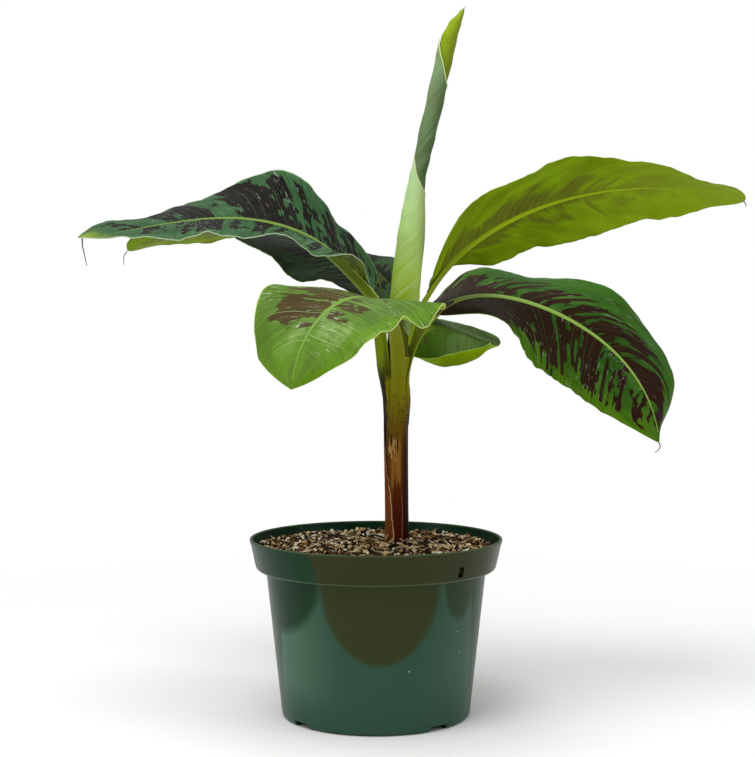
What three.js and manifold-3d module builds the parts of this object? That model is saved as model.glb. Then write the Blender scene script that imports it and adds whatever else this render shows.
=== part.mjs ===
// Potted banana plant: squat nursery pot, potting mix, a stem of wrapped leaf sheaths, six open leaves and one rolled leaf.
// Millimetres, +Z up. The origin is the centre of the pot's underside. -Y is the side that the plant is seen from.
import * as THREE from 'three';
import Module from 'manifold-3d';

// ---- driving sizes ------------------------------------------------------------------------------------------------
const CLEAR = 0.3;               // gap between neighbouring pieces
const ROUND = 60;                // facets round the pot

const POT = {
  height: 178, rimRadius: 127, rimLowRadius: 120.1, rimLow: 147, bodyTopRadius: 110.5, baseRadius: 94.9,
  wall: 2.3, lip: 1.5, floorLow: 4, floorHigh: 6.6, footWidth: 5, footRound: 2.5, padRadius: 34,
};
const SLOTS = { count: 3, first: -48.4, width: 6.3, low: 151.5, high: 162 };        // hanger slots in the rim band
const NOTCHES = { count: 4, first: -50, width: 22, high: 5 };                      // drain notches in the foot ring
const SOIL = { edge: 168.6, crown: 171.6, flatRadius: 17, flat: 171.0 };
const STEM = { x: 21.8, y: 16, top: 362, footRadius: 12.2, midRadius: 11.3, topRadius: 13.4, lip: 1.1, lipAt: 205, lean: 0.8 };
const SHEATH = { low: 171.3, high: 321, front: 276, from: 120, to: 252, thick: 1.2 }; // dry outer sheath, back left
const ROLL = {                                                                     // the leaf that is still rolled up
  y: 16, low: 362.3,
  stations: [[362, 24.5, 12.8], [400, 27.5, 13.8], [440, 31.1, 13.7], [480, 35.6, 12.9], [500, 37.6, 11.2], [520, 39.4, 8.7],
    [540, 42.2, 7.2], [560, 46.6, 7.5], [580, 50.8, 8.4], [620, 60, 8.3], [660, 69.2, 8.8], [680, 73.8, 9.3], [695, 79.8, 7.4],
    [705, 85.9, 3.9], [712, 90.1, 0.8]],                                            // height, centre, radius
  lip: 1.4, turnFrom: -20, turnTo: 420,
};

// Every leaf: seat of its stalk, lengths of stalk and blade, then angles from stalk foot to leaf tip. climb is the rise of
// the midrib, heading its compass direction from +X towards +Y, roll the tilt of the blade about the midrib. Each half
// blade has its width, its lift from the midrib and its curl out to the margin, and soft ripples: height, waves, phase.
const LEAVES = {
  leaf_front: { seat: [22, 9, 325], petiole: 86, blade: 242, thick: 3, stalk: 8,
    climb: [82, 16, -26, -57], heading: [-84, -119, -138, -97], roll: [-5, -17, -2, -5],
    widthLeft: 78, widthRight: 70, broad: 0.31, tipPower: 2.88, tipRound: 0.88, baseRound: 0.41,
    liftLeft: [14, 10, 2, -1, 0], liftRight: [16, 8, -1], curlLeft: [-14, -16, -22, -20, -12], curlRight: [-13, -11, -11],
    rippleLeft: [[8.7, 1.53, 0.11], [3.9, 4.31, 0.23]], rippleRight: [[10.5, 1.81, -0.75], [2.0, 3.23, 0.3]] },
  leaf_right: { seat: [27, 12, 325], petiole: 94, blade: 349, thick: 3.5, stalk: 7.4,
    climb: [92, -29, -13, -84], heading: [38, 72, -21, -42], roll: [-2, 26, 112, 0],
    widthLeft: 73, widthRight: 68, broad: 0.48, tipPower: 3.28, tipRound: 0.8, baseRound: 0.55,
    liftLeft: [6, 11, -18], liftRight: [-3, 1, -5], curlLeft: [-34, -14, -43], curlRight: [-31, -29, -27],
    rippleLeft: [[9.0, 3.42, -0.69]], rippleRight: [[5.6, 1.65, 0.1]] },
  leaf_upper_left: { seat: [13, 14, 328], petiole: 102, blade: 312, thick: 3.3, stalk: 8.8,
    climb: [92, 53, -36, -5], heading: [196, 221, 174, 220], roll: [-12, -40, -17, -15],
    widthLeft: 62, widthRight: 78, broad: 0.37, tipPower: 3.01, tipRound: 0.57, baseRound: 0.47,
    liftLeft: [22, 11, 10, 9, 9], liftRight: [31, 5, -4], curlLeft: [2, -13, -11, -7, 1], curlRight: [17, -17, -25],
    rippleLeft: [[4.5, 3.98, -0.31], [3.2, 2.59, 0.04]], rippleRight: [[11.6, 1.86, 0.59], [3.7, 3.4, 1.09]] },
  leaf_upper_right: { seat: [25, 14, 330], petiole: 100, blade: 374, thick: 3.7, stalk: 7.6,
    climb: [92, 25, 9, -14], heading: [26, 5, -4, 21], roll: [-9, -54, -23, -17],
    widthLeft: 67, widthRight: 65, broad: 0.31, tipPower: 2.66, tipRound: 0.62, baseRound: 0.4,
    liftLeft: [17, -8, 3], liftRight: [25, -2, 2], curlLeft: [3, -34, -15], curlRight: [7, -28, -17],
    rippleLeft: [[-4.4, 3.76, -0.78], [3.3, 4.46, -0.19]], rippleRight: [[5.7, 1.74, 1.33], [2.7, 4.22, 0.24]] },
  leaf_back_left: { seat: [16, 20, 328], petiole: 108, blade: 381, thick: 3.7, stalk: 7.6,
    climb: [82, -9, 31, -25], heading: [74, 111, 187, 182], roll: [-9, -6, 10, 26],
    widthLeft: 67, widthRight: 60, broad: 0.41, tipPower: 2.94, tipRound: 0.5, baseRound: 0.68,
    liftLeft: [0, -12, -3], liftRight: [5, 5, 10, 17, 14], curlLeft: [-33, -31, 1], curlRight: [-18, -12, 5],
    rippleLeft: [[5.7, 1.93, 0.04], [3.6, 3.68, 0.6]], rippleRight: [[6.4, 2.27, -0.06]] },
  leaf_back_right: { seat: [26, 21, 328], petiole: 35, blade: 131, thick: 3, stalk: 6.4, along: 14, half: 6,
    climb: [92, 57, -63, -7], heading: [43, 43, 64, -19], roll: [85, 56, 18, -31],
    widthLeft: 62, widthRight: 84, broad: 0.45, tipPower: 3.36, tipRound: 0.56, baseRound: 0.74,
    liftLeft: [-23, -15, 29], liftRight: [-124, -123, -118, -64, -48], curlLeft: [-20, -30, 31], curlRight: [166, 283, 264, 128, 40],
    rippleLeft: [[2.7, 1.71, -0.29]], rippleRight: [[2.9, 1.14, 0.21]] },
};
// Stalk and midrib: leaf.stalk is the half width at the foot, these are shares of it, and the half width at the leaf tip.
const STALK = { atBlade: 0.86, deep: 0.7, tip: 1.2, thin: 2.2, end: 0.93 };
const LEAF_STEPS = 27, HALF_STEPS = 4, STALK_STEPS = 20, STALK_SIDES = 8;

const COLOURS = {
  pot: 0x1f4433, soil: 0x3a2a20, pseudostem: 0x6b6a2c, dry_sheath: 0x3a2420, rolled_leaf: 0x9db565,
  leaf_front: 0x6f9a3e, leaf_right: 0x476b38, leaf_upper_left: 0x3f5f3f, leaf_upper_right: 0x8a9c3c,
  leaf_back_left: 0x3a5236, leaf_back_right: 0x4d7030,
};

// ---- helpers ------------------------------------------------------------------------------------------------------
const wasm = await Module();
wasm.setup();
const rad = (degrees) => (degrees * Math.PI) / 180;
const vec = (x, y, z) => new THREE.Vector3(x, y, z);

// Value at s (0 to 1) of the smooth curve that the listed control values pull.
function bezier(values, s) {
  let row = values.slice();
  while (row.length > 1) row = row.slice(1).map((v, i) => row[i] * (1 - s) + v * s);
  return row[0];
}

function ramp(stations, s) {
  for (let i = 1; i < stations.length; i++) {
    if (s <= stations[i][0]) {
      const [a, b] = [stations[i - 1], stations[i]];
      const t = THREE.MathUtils.smoothstep(s, a[0], b[0]) * 0.5 + ((s - a[0]) / (b[0] - a[0])) * 0.5;
      return a[1] + (b[1] - a[1]) * t;
    }
  }
  return stations[stations.length - 1][1];
}

// Indexed manifold from any geometry, with equal corners joined and collapsed triangles dropped.
function toManifold(geometry) {
  const position = geometry.attributes.position;
  const index = geometry.index ? Array.from(geometry.index.array) : Array.from({ length: position.count }, (_, i) => i);
  const seen = new Map(), vertProperties = [], remap = [];
  for (let i = 0; i < position.count; i++) {
    const p = [position.getX(i), position.getY(i), position.getZ(i)].map((v) => Math.round(v * 1e4) / 1e4);
    const key = p.join();
    if (!seen.has(key)) { seen.set(key, vertProperties.length / 3); vertProperties.push(...p); }
    remap.push(seen.get(key));
  }
  const triVerts = [];
  for (let i = 0; i < index.length; i += 3) {
    const [a, b, c] = [remap[index[i]], remap[index[i + 1]], remap[index[i + 2]]];
    if (a !== b && b !== c && c !== a) triVerts.push(a, b, c);
  }
  return new wasm.Manifold(new wasm.Mesh({
    numProp: 3, vertProperties: new Float32Array(vertProperties), triVerts: new Uint32Array(triVerts),
  }));
}

function fromManifold(solid) {
  const mesh = solid.getMesh();
  const geometry = new THREE.BufferGeometry();
  geometry.setAttribute('position', new THREE.BufferAttribute(new Float32Array(mesh.vertProperties), 3));
  geometry.setIndex(Array.from(mesh.triVerts));
  return geometry;
}

// Cutter that clears a curved solid on all sides: copies of it moved by a little in every direction.
function halo(solid, gap) {
  const copies = [];
  for (const x of [-1, 0, 1]) {
    for (const y of [-1, 0, 1]) {
      for (const z of [-1, 0, 1]) {
        const size = Math.hypot(x, y, z);
        if (size !== 0 && Math.abs(size - Math.SQRT2) > 0.1) copies.push(solid.translate([x, y, z].map((v) => (v * gap) / size)));
      }
    }
  }
  return copies.reduce((all, copy) => all.add(copy));
}

// The largest connected piece: what a cut leaves over as crumbs is dropped.
function largest(solid) {
  return solid.decompose().reduce((a, b) => (a.volume() >= b.volume() ? a : b));
}

// Closed skin over equal rings of points: sides between rings, and a fan on each end.
function skinRings(rings) {
  const points = rings.flat(), faces = [], n = rings[0].length;
  const at = (ring, i) => ring * n + ((i + n) % n);
  for (let r = 0; r + 1 < rings.length; r++) {
    for (let i = 0; i < n; i++) {
      faces.push(at(r, i), at(r, i + 1), at(r + 1, i + 1), at(r, i), at(r + 1, i + 1), at(r + 1, i));
    }
  }
  for (const [ring, flip] of [[0, true], [rings.length - 1, false]]) {
    const centre = points.length;
    points.push(rings[ring].reduce((a, p) => a.clone().add(p), vec(0, 0, 0)).divideScalar(n));
    for (let i = 0; i < n; i++) {
      faces.push(centre, ...(flip ? [at(ring, i + 1), at(ring, i)] : [at(ring, i), at(ring, i + 1)]));
    }
  }
  return solidFrom(points, faces);
}

// Solid from points and triangles, turned so that its faces point outwards.
function solidFrom(points, faces) {
  let volume = 0;
  for (let i = 0; i < faces.length; i += 3) {
    volume += points[faces[i]].dot(points[faces[i + 1]].clone().cross(points[faces[i + 2]]));
  }
  if (volume < 0) faces.reverse();
  const geometry = new THREE.BufferGeometry().setFromPoints(points);
  geometry.setIndex(faces);
  return toManifold(geometry);
}

function lathe(profile, facets = ROUND) {
  const geometry = new THREE.LatheGeometry(profile.map(([r, z]) => new THREE.Vector2(r, z)), facets);
  geometry.rotateX(Math.PI / 2);
  return toManifold(geometry);
}

function box(width, depth, height, place) {
  const geometry = new THREE.BoxGeometry(width, depth, height);
  geometry.applyMatrix4(place);
  return toManifold(geometry);
}

// ---- pot and potting mix ------------------------------------------------------------------------------------------
function arc(cx, cz, radius, from, to, steps) {
  return Array.from({ length: steps + 1 }, (_, i) => {
    const a = rad(from + ((to - from) * i) / steps);
    return [cx + radius * Math.cos(a), cz + radius * Math.sin(a)];
  });
}

function innerRadius(z) {
  const bodyIn = (h) => POT.baseRadius + ((POT.bodyTopRadius - POT.baseRadius) * h) / POT.rimLow - POT.wall;
  const rimIn = (h) => POT.rimLowRadius + ((POT.rimRadius - POT.rimLowRadius) * (h - POT.rimLow)) / (POT.height - POT.rimLow) - POT.wall;
  return z <= POT.rimLow + POT.wall ? bodyIn(z) : rimIn(z);
}

function buildPot() {
  const { height, rimRadius, rimLowRadius, rimLow, bodyTopRadius, baseRadius, wall, lip, floorLow, floorHigh, footWidth, footRound, padRadius } = POT;
  const profile = [
    [0, 0], [padRadius, 0], [padRadius + 3, floorLow], [baseRadius - footWidth - 3, floorLow], [baseRadius - footWidth, 0],
    ...arc(baseRadius - footRound, footRound, footRound, -90, -6, 4),
    [bodyTopRadius, rimLow], [rimLowRadius - 1.2, rimLow], [rimLowRadius, rimLow + 1.2],
    ...arc(rimRadius - lip, height - lip, lip, 0, 180, 8),
    [innerRadius(height - 4), height - 4], [innerRadius(rimLow + wall + 1), rimLow + wall + 1],
    [innerRadius(rimLow + wall + 1) - 1, rimLow + wall], [innerRadius(rimLow), rimLow + wall],
    ...arc(innerRadius(floorHigh) - 3, floorHigh + 3, 3, 0, -90, 3), [0, floorHigh],
  ];
  let pot = lathe(profile);
  for (let i = 0; i < SLOTS.count; i++) {
    const turn = rad(SLOTS.first + (360 * i) / SLOTS.count), mid = (rimRadius + rimLowRadius) / 2 - 1.5;
    const place = new THREE.Matrix4().makeRotationZ(turn)
      .multiply(new THREE.Matrix4().makeTranslation(mid, 0, (SLOTS.low + SLOTS.high) / 2));
    pot = pot.subtract(box(12, SLOTS.width, SLOTS.high - SLOTS.low, place));
  }
  for (let i = 0; i < NOTCHES.count; i++) {
    const turn = rad(-90 + NOTCHES.first + (360 * i) / NOTCHES.count);
    const place = new THREE.Matrix4().makeRotationZ(turn)
      .multiply(new THREE.Matrix4().makeTranslation(baseRadius - 2, 0, NOTCHES.high / 2 - 2));
    pot = pot.subtract(box(16, NOTCHES.width, NOTCHES.high + 4, place));
  }
  return pot;
}

function buildSoil() {
  const { floorHigh, rimLow, wall } = POT;
  const shoulder = rimLow + wall + CLEAR;
  const outer = [
    [0, floorHigh + CLEAR], [innerRadius(floorHigh) - 4, floorHigh + CLEAR], [innerRadius(floorHigh) - CLEAR - 0.9, floorHigh + 3.2],
    [innerRadius(rimLow) - CLEAR, shoulder + 0.4], [innerRadius(shoulder + 0.5) - CLEAR - 1.3, shoulder + 0.4],
    [innerRadius(shoulder + 2) - CLEAR - 0.2, shoulder + 2.2], [innerRadius(SOIL.edge - 1.5) - CLEAR, SOIL.edge - 1.5],
  ];
  const top = [0.985, 0.8, 0.55, 0.3].map((share) => [innerRadius(SOIL.edge) * share, SOIL.edge + (SOIL.crown - SOIL.edge) * (1 - share * share)]);
  let soil = lathe([...outer, ...top, [0, SOIL.crown]]);
  const cutter = new THREE.CylinderGeometry(SOIL.flatRadius, SOIL.flatRadius, 10, 40);
  cutter.rotateX(Math.PI / 2).translate(STEM.x, STEM.y, SOIL.flat + 5);
  return soil.subtract(toManifold(cutter));
}

// ---- stem ---------------------------------------------------------------------------------------------------------
function stemCentre(z) {
  const s = (z - SOIL.flat) / (STEM.top - SOIL.flat);
  return [STEM.x - STEM.lean * Math.sin(Math.PI * s), STEM.y];
}

function stemRadius(z) {
  const s = (z - SOIL.flat) / (STEM.top - SOIL.flat);
  const flare = (STEM.footRadius - STEM.midRadius) * Math.pow(1 - Math.min(1, s * 4), 2);
  const crown = (STEM.topRadius - STEM.midRadius) * Math.pow(s, 4);
  return STEM.midRadius + flare + crown;
}

// Wrapped sheaths: round the section the radius grows by one lip, which steps back where the outer sheath ends.
function buildStem(grow = 0) {
  const rings = [], sides = 30, foot = SOIL.flat + CLEAR;
  const levels = [0, 0.02, 0.06, 0.12, 0.2, 0.3, 0.4, 0.5, 0.6, 0.7, 0.8, 0.88, 0.94, 0.98, 1];
  for (const s of levels) {
    const z = foot + (STEM.top - foot) * s, [cx, cy] = stemCentre(z);
    const crownRound = s > 0.93 ? Math.sqrt(1 - Math.pow((s - 0.93) / 0.07, 2) * 0.55) : 1;
    const lipAt = rad(STEM.lipAt + 60 * s);
    rings.push(Array.from({ length: sides }, (_, i) => {
      const t = i / (sides - 1), a = lipAt + 2 * Math.PI * t * (1 - 0.002);
      const r = (stemRadius(z) - STEM.lip * 0.5 + STEM.lip * (grow ? 1 : t)) * crownRound + grow;
      return vec(cx + r * Math.cos(a), cy + r * Math.sin(a) * 0.97, z + (s === 0 ? -grow : s === 1 ? grow : 0));
    }));
  }
  return skinRings(rings);
}

// Dry brown sheath that still wraps the back left of the stem, torn to a point at its top.
function buildSheath(grow = 0) {
  const rows = 7, across = 12, inner = [], outer = [];
  for (let j = 0; j <= rows; j++) {
    const s = j / rows, line = [[], []];
    for (let i = 0; i <= across; i++) {
      const t = i / across, a = rad(SHEATH.from + (SHEATH.to - SHEATH.from) * t + grow * 5 * (t * 2 - 1));
      const top = SHEATH.front + (SHEATH.high - SHEATH.front) * THREE.MathUtils.smoothstep(1 - Math.abs(t - 0.42) * 2.2, 0, 1);
      const z = SHEATH.low - grow + (top - SHEATH.low + 2 * grow) * s, [cx, cy] = stemCentre(z);
      for (const [k, offset] of [[0, STEM.lip * 0.5 + CLEAR + 0.1 - grow], [1, STEM.lip * 0.5 + CLEAR + 0.1 + SHEATH.thick + grow]]) {
        const r = stemRadius(z) + offset;
        line[k].push(vec(cx + r * Math.cos(a), cy + r * Math.sin(a) * 0.97, z));
      }
    }
    inner.push(line[0]); outer.push(line[1]);
  }
  return skinSlab(outer, inner);
}

// Closed skin round two equal grids of points, front and back.
function skinSlab(front, back) {
  const rows = front.length, cols = front[0].length, points = [...front.flat(), ...back.flat()], faces = [];
  const f = (r, c) => r * cols + c, b = (r, c) => rows * cols + r * cols + c;
  for (let r = 0; r + 1 < rows; r++) {
    for (let c = 0; c + 1 < cols; c++) {
      faces.push(f(r, c), f(r, c + 1), f(r + 1, c + 1), f(r, c), f(r + 1, c + 1), f(r + 1, c));
      faces.push(b(r, c), b(r + 1, c + 1), b(r, c + 1), b(r, c), b(r + 1, c), b(r + 1, c + 1));
    }
  }
  const edge = [];
  for (let c = 0; c + 1 < cols; c++) edge.push([0, c + 1, 0, c], [rows - 1, c, rows - 1, c + 1]);
  for (let r = 0; r + 1 < rows; r++) edge.push([r, 0, r + 1, 0], [r + 1, cols - 1, r, cols - 1]);
  for (const [r0, c0, r1, c1] of edge) faces.push(f(r0, c0), f(r1, c1), b(r1, c1), f(r0, c0), b(r1, c1), b(r0, c0));
  return solidFrom(points, faces);
}

// ---- leaves -------------------------------------------------------------------------------------------------------
// Walks along the midrib and returns, at s from 0 (foot of the stalk) to 1 (tip), the place and the three directions.
function walkMidrib(leaf, steps = 120) {
  const length = leaf.petiole + leaf.blade, stations = [];
  const direction = (s) => {
    const e = rad(bezier(leaf.climb, s)), h = rad(bezier(leaf.heading, s));
    const along = vec(Math.cos(e) * Math.cos(h), Math.cos(e) * Math.sin(h), Math.sin(e));
    const side = vec(-Math.sin(h), Math.cos(h), 0);
    return { along, side, up: along.clone().cross(side) };
  };
  const place = vec(...leaf.seat);
  let last = direction(0);
  stations.push({ place: place.clone(), ...last });
  for (let i = 1; i <= steps; i++) {
    const next = direction(i / steps);
    place.addScaledVector(last.along, (0.5 * length) / steps).addScaledVector(next.along, (0.5 * length) / steps);
    stations.push({ place: place.clone(), ...next });
    last = next;
  }
  return (s) => {
    const x = Math.min(Math.max(s, 0), 1) * steps, i = Math.min(Math.floor(x), steps - 1), t = x - i;
    const mix = (key) => stations[i][key].clone().lerp(stations[i + 1][key], t);
    return { place: mix('place'), along: mix('along').normalize(), side: mix('side').normalize(), up: mix('up').normalize() };
  };
}

// Share of the full half width at u along the blade: rounded base, broadest at leaf.broad, drawn in to the tip.
function bladeShare(leaf, u) {
  if (u < leaf.broad) return Math.pow(Math.max(0, 1 - Math.pow(1 - u / leaf.broad, 2)), leaf.baseRound);
  return Math.pow(Math.max(0, 1 - Math.pow((u - leaf.broad) / (1 - leaf.broad), leaf.tipPower)), leaf.tipRound);
}

function rolled(frame, degrees) {
  const a = rad(degrees), { side, up } = frame;
  return {
    across: side.clone().multiplyScalar(Math.cos(a)).addScaledVector(up, Math.sin(a)),
    normal: side.clone().multiplyScalar(-Math.sin(a)).addScaledVector(up, Math.cos(a)),
  };
}

function bladeGrid(leaf, grow) {
  const at = walkMidrib(leaf), start = leaf.petiole / (leaf.petiole + leaf.blade), rows = [];
  const steps = leaf.along ?? LEAF_STEPS, columns = leaf.half ?? HALF_STEPS;
  for (let i = 0; i <= steps; i++) {
    const u = 0.5 - 0.5 * Math.cos((Math.PI * i) / steps);
    const frame = at(start + (1 - start) * u), { across, normal } = rolled(frame, bezier(leaf.roll, u));
    const row = [];
    for (let j = -columns; j <= columns; j++) {
      const left = j >= 0, t = Math.abs(j) / columns;
      const width = Math.max((left ? leaf.widthLeft : leaf.widthRight) * bladeShare(leaf, u), 1.8) + grow;
      const lift = rad(bezier(left ? leaf.liftLeft : leaf.liftRight, u));
      const bend = rad(bezier(left ? leaf.curlLeft : leaf.curlRight, u)), curl = Math.abs(bend) < 1e-4 ? 1e-4 : bend;
      const turned = lift + curl * t;
      const out = (Math.sin(turned) - Math.sin(lift)) / curl, high = (Math.cos(lift) - Math.cos(turned)) / curl;
      const waves = (left ? leaf.rippleLeft : leaf.rippleRight).reduce(
        (sum, [height, count, phase]) => sum + height * Math.sin(2 * Math.PI * (count * u + phase)), 0);
      const ripple = waves * t * t * Math.min(1, 6 * u * (1 - u));
      row.push(frame.place.clone().addScaledVector(across, (left ? 1 : -1) * width * out)
        .addScaledVector(normal, width * high + ripple));
    }
    rows.push(row);
  }
  return rows;
}

function thicken(rows, half) {
  const normals = rows.map((row, r) => row.map((_, c) => {
    const along = rows[Math.min(r + 1, rows.length - 1)][c].clone().sub(rows[Math.max(r - 1, 0)][c]);
    const across = row[Math.min(c + 1, row.length - 1)].clone().sub(row[Math.max(c - 1, 0)]);
    return along.cross(across).normalize();
  }));
  const shift = (amount) => rows.map((row, r) => row.map((p, c) => p.clone().addScaledVector(normals[r][c], amount)));
  return skinSlab(shift(half), shift(-half));
}

function stalk(leaf, grow) {
  const at = walkMidrib(leaf), start = leaf.petiole / (leaf.petiole + leaf.blade), end = start + (1 - start) * STALK.end;
  const rings = [];
  for (let i = 0; i <= STALK_STEPS; i++) {
    const s = (end * i) / STALK_STEPS, u = Math.max(0, (s - start) / (1 - start)), frame = at(s);
    const { across, normal } = rolled(frame, bezier(leaf.roll, u));
    const near = Math.min(1, s / start), atBlade = leaf.stalk * STALK.atBlade;
    const half = u > 0 ? STALK.tip + (atBlade - STALK.tip) * Math.pow(1 - u, STALK.thin) : leaf.stalk + (atBlade - leaf.stalk) * near;
    const thick = half * STALK.deep;
    const centre = frame.place.clone().addScaledVector(normal, -Math.min(1, u * 8) * thick * 0.7);
    rings.push(Array.from({ length: STALK_SIDES }, (_, k) => {
      const a = (2 * Math.PI * k) / STALK_SIDES;
      return centre.clone().addScaledVector(across, (half + grow) * Math.cos(a))
        .addScaledVector(normal, (thick + grow) * Math.sin(a));
    }));
  }
  return skinRings(rings);
}

function buildLeaf(leaf, grow = 0) {
  return thicken(bladeGrid(leaf, grow), leaf.thick / 2 + grow).add(stalk(leaf, grow));
}

// The leaf that is still rolled: a leaning tube whose free edge climbs round it as a low step.
function buildRoll(grow = 0) {
  const rings = [], sides = 22, steps = 26, { stations, low } = ROLL, high = stations[stations.length - 1][0];
  const column = (k) => stations.map((station) => [station[0], station[k]]);
  for (let i = 0; i <= steps; i++) {
    const s = 1 - Math.pow(1 - i / steps, 1.3), z = low + (high - low) * s;
    const x = ramp(column(1), z), radius = ramp(column(2), z), lip = Math.min(ROLL.lip, radius * 0.3);
    const edge = rad(ROLL.turnFrom + (ROLL.turnTo - ROLL.turnFrom) * s);
    rings.push(Array.from({ length: sides }, (_, k) => {
      const t = k / (sides - 1), a = edge + 2 * Math.PI * t * 0.998, r = radius - lip * 0.5 + lip * (grow ? 1 : t) + grow;
      return vec(x + r * Math.cos(a), ROLL.y + r * Math.sin(a), z + (i === 0 ? -grow : i === steps ? grow : 0));
    }));
  }
  return skinRings(rings);
}

// ---- assembly -----------------------------------------------------------------------------------------------------
const part = new THREE.Group();
part.name = 'potted_banana_plant';

function add(name, solid, roughness = 0.5) {
  const material = new THREE.MeshStandardMaterial({ color: COLOURS[name], roughness });
  material.name = name;
  const mesh = new THREE.Mesh(fromManifold(solid), material);
  mesh.name = name;
  part.add(mesh);
}

add('pot', buildPot(), 0.35);
add('soil', buildSoil(), 0.95);
add('pseudostem', buildStem(), 0.5);

// Every later piece is cut back from the pieces before it, each grown by the clearance.
const growth = CLEAR + 0.05;
const taken = [buildStem(growth)];
const trimmed = (solid) => largest(taken.reduce((rest, cut) => rest.subtract(cut), solid));

add('dry_sheath', trimmed(buildSheath()), 0.9);
taken.push(buildSheath(growth));
for (const name of ['leaf_front', 'leaf_upper_left', 'leaf_right']) {
  add(name, trimmed(buildLeaf(LEAVES[name])), 0.4);
  taken.push(halo(buildLeaf(LEAVES[name]), growth + 0.03));
}
add('rolled_leaf', trimmed(buildRoll()), 0.4);
taken.push(buildRoll(growth));
for (const name of ['leaf_upper_right', 'leaf_back_left', 'leaf_back_right']) {
  add(name, trimmed(buildLeaf(LEAVES[name])), 0.4);
  taken.push(halo(buildLeaf(LEAVES[name]), growth + 0.03));
}

export default part;
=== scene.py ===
# %% [markdown]
# # A young banana plant in a nursery pot
#
# The imported CAD part gives the plant's true size: a squat pot, the mix in it, a slim stem, six open
# leaves and one leaf that is still rolled up. Its solids are plain and thick, as collision needs them.
# Here every one of them gets a finer piece in the same place, in the same frame, with a finish of its own.

# %% Load the frame
import math
import random

import bmesh
import bpy
from mathutils import Euler, Matrix, Vector, noise


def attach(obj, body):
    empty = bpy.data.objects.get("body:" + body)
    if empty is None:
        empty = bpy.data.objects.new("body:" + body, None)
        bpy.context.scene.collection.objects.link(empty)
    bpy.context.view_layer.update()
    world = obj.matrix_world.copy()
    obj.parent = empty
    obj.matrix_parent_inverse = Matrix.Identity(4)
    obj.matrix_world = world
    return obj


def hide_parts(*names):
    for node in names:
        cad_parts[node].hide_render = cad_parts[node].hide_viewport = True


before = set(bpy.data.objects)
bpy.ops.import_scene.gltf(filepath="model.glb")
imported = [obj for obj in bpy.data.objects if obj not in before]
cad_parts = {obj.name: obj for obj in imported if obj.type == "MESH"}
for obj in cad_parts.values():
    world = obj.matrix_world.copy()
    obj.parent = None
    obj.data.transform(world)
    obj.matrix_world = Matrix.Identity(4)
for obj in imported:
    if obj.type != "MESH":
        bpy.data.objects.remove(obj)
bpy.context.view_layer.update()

# %% [markdown]
# ## Millimetres, and colours as the screen shows them
#
# Plants and pots are measured in millimetres, and Blender works in metres, so each mesh is made in
# millimetres and scaled once, when it becomes an object. Shaders work in linear light. Colours are easier to
# judge as the 0 to 255 values of a screen, so one function turns the second kind into the first.

# %% Units and colours
MM = 0.001


def srgb(red, green, blue):
    """Linear colour, with an alpha of 1, from screen values of 0 to 255."""
    share = [v / 255 for v in (red, green, blue)]
    return tuple(v / 12.92 if v <= 0.04045 else ((v + 0.055) / 1.055) ** 2.4 for v in share) + (1.0,)


print("a screen value of 128 is", round(srgb(128, 128, 128)[0], 3), "of full light")


# %% [markdown]
# ## Small helpers for curves
#
# A leaf's direction, tilt and curl change smoothly from its foot to its tip. A Bezier curve through a few
# control values says that with three or four numbers. A ramp does the same for a list of stations that
# has to be met exactly, and smooth steps fade one thing into another.

# %% Curves by number
def bezier(values, s):
    """Value at s, from 0 to 1, of the smooth curve that the control values pull."""
    row = list(values)
    while len(row) > 1:
        row = [a * (1 - s) + b * s for a, b in zip(row, row[1:])]
    return row[0]


def smooth(low, high, x):
    """0 below low, 1 above high, and an even change in between. low may be the larger one."""
    t = min(1.0, max(0.0, (x - low) / (high - low)))
    return t * t * (3 - 2 * t)


def ramp(stations, x):
    """Value at x along (place, value) stations: half straight, half eased, so that no station is sharp."""
    if x <= stations[0][0]:
        return stations[0][1]
    for (x0, y0), (x1, y1) in zip(stations, stations[1:]):
        if x <= x1:
            t = (x - x0) / (x1 - x0)
            return y0 + (y1 - y0) * (0.5 * t + 0.5 * smooth(0, 1, t))
    return stations[-1][1]


def arc(centre_r, centre_z, radius, start, end, steps):
    """Points (r, z) on an arc, angles in degrees."""
    angles = [math.radians(start + (end - start) * i / steps) for i in range(steps + 1)]
    return [(centre_r + radius * math.cos(a), centre_z + radius * math.sin(a)) for a in angles]


# %% [markdown]
# ## From a bmesh to a piece of the plant
#
# Most parts of a plant are skins: a sheet, or a sheet rolled into a tube. One helper makes a grid, gives it
# a UV map while it is flat, and then moves each corner to where a function puts it. That is how one would
# lay out a leaf by hand: mark the paper first, bend it afterwards. The second helper names the mesh, scales
# it to metres, gives it its finish and lets it ride on the part's one body. The third gives a sheet its
# thickness with a modifier, so that the grid itself can stay a single layer.

# %% Grid skins
def skin(along, around, place, closed=False):
    """Grid whose corner at (s, a), each from 0 to 1, goes to place(s, a).

    closed joins a = 0 to a = 1, and caps the ends.
    """
    bm = bmesh.new()
    uv_layer = bm.loops.layers.uv.new("UVMap")
    bmesh.ops.create_grid(bm, x_segments=along, y_segments=around, size=0.5)
    spots = {v: (v.co.x + 0.5, v.co.y + 0.5) for v in bm.verts}
    for face in bm.faces:
        for loop in face.loops:
            loop[uv_layer].uv = spots[loop.vert]
    for v, (s, a) in spots.items():
        v.co = place(s, a)
    if closed:
        bmesh.ops.remove_doubles(bm, verts=bm.verts, dist=1e-3)
        bmesh.ops.holes_fill(bm, edges=[e for e in bm.edges if e.is_boundary], sides=0)
        bmesh.ops.recalc_face_normals(bm, faces=bm.faces)
    return bm


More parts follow.
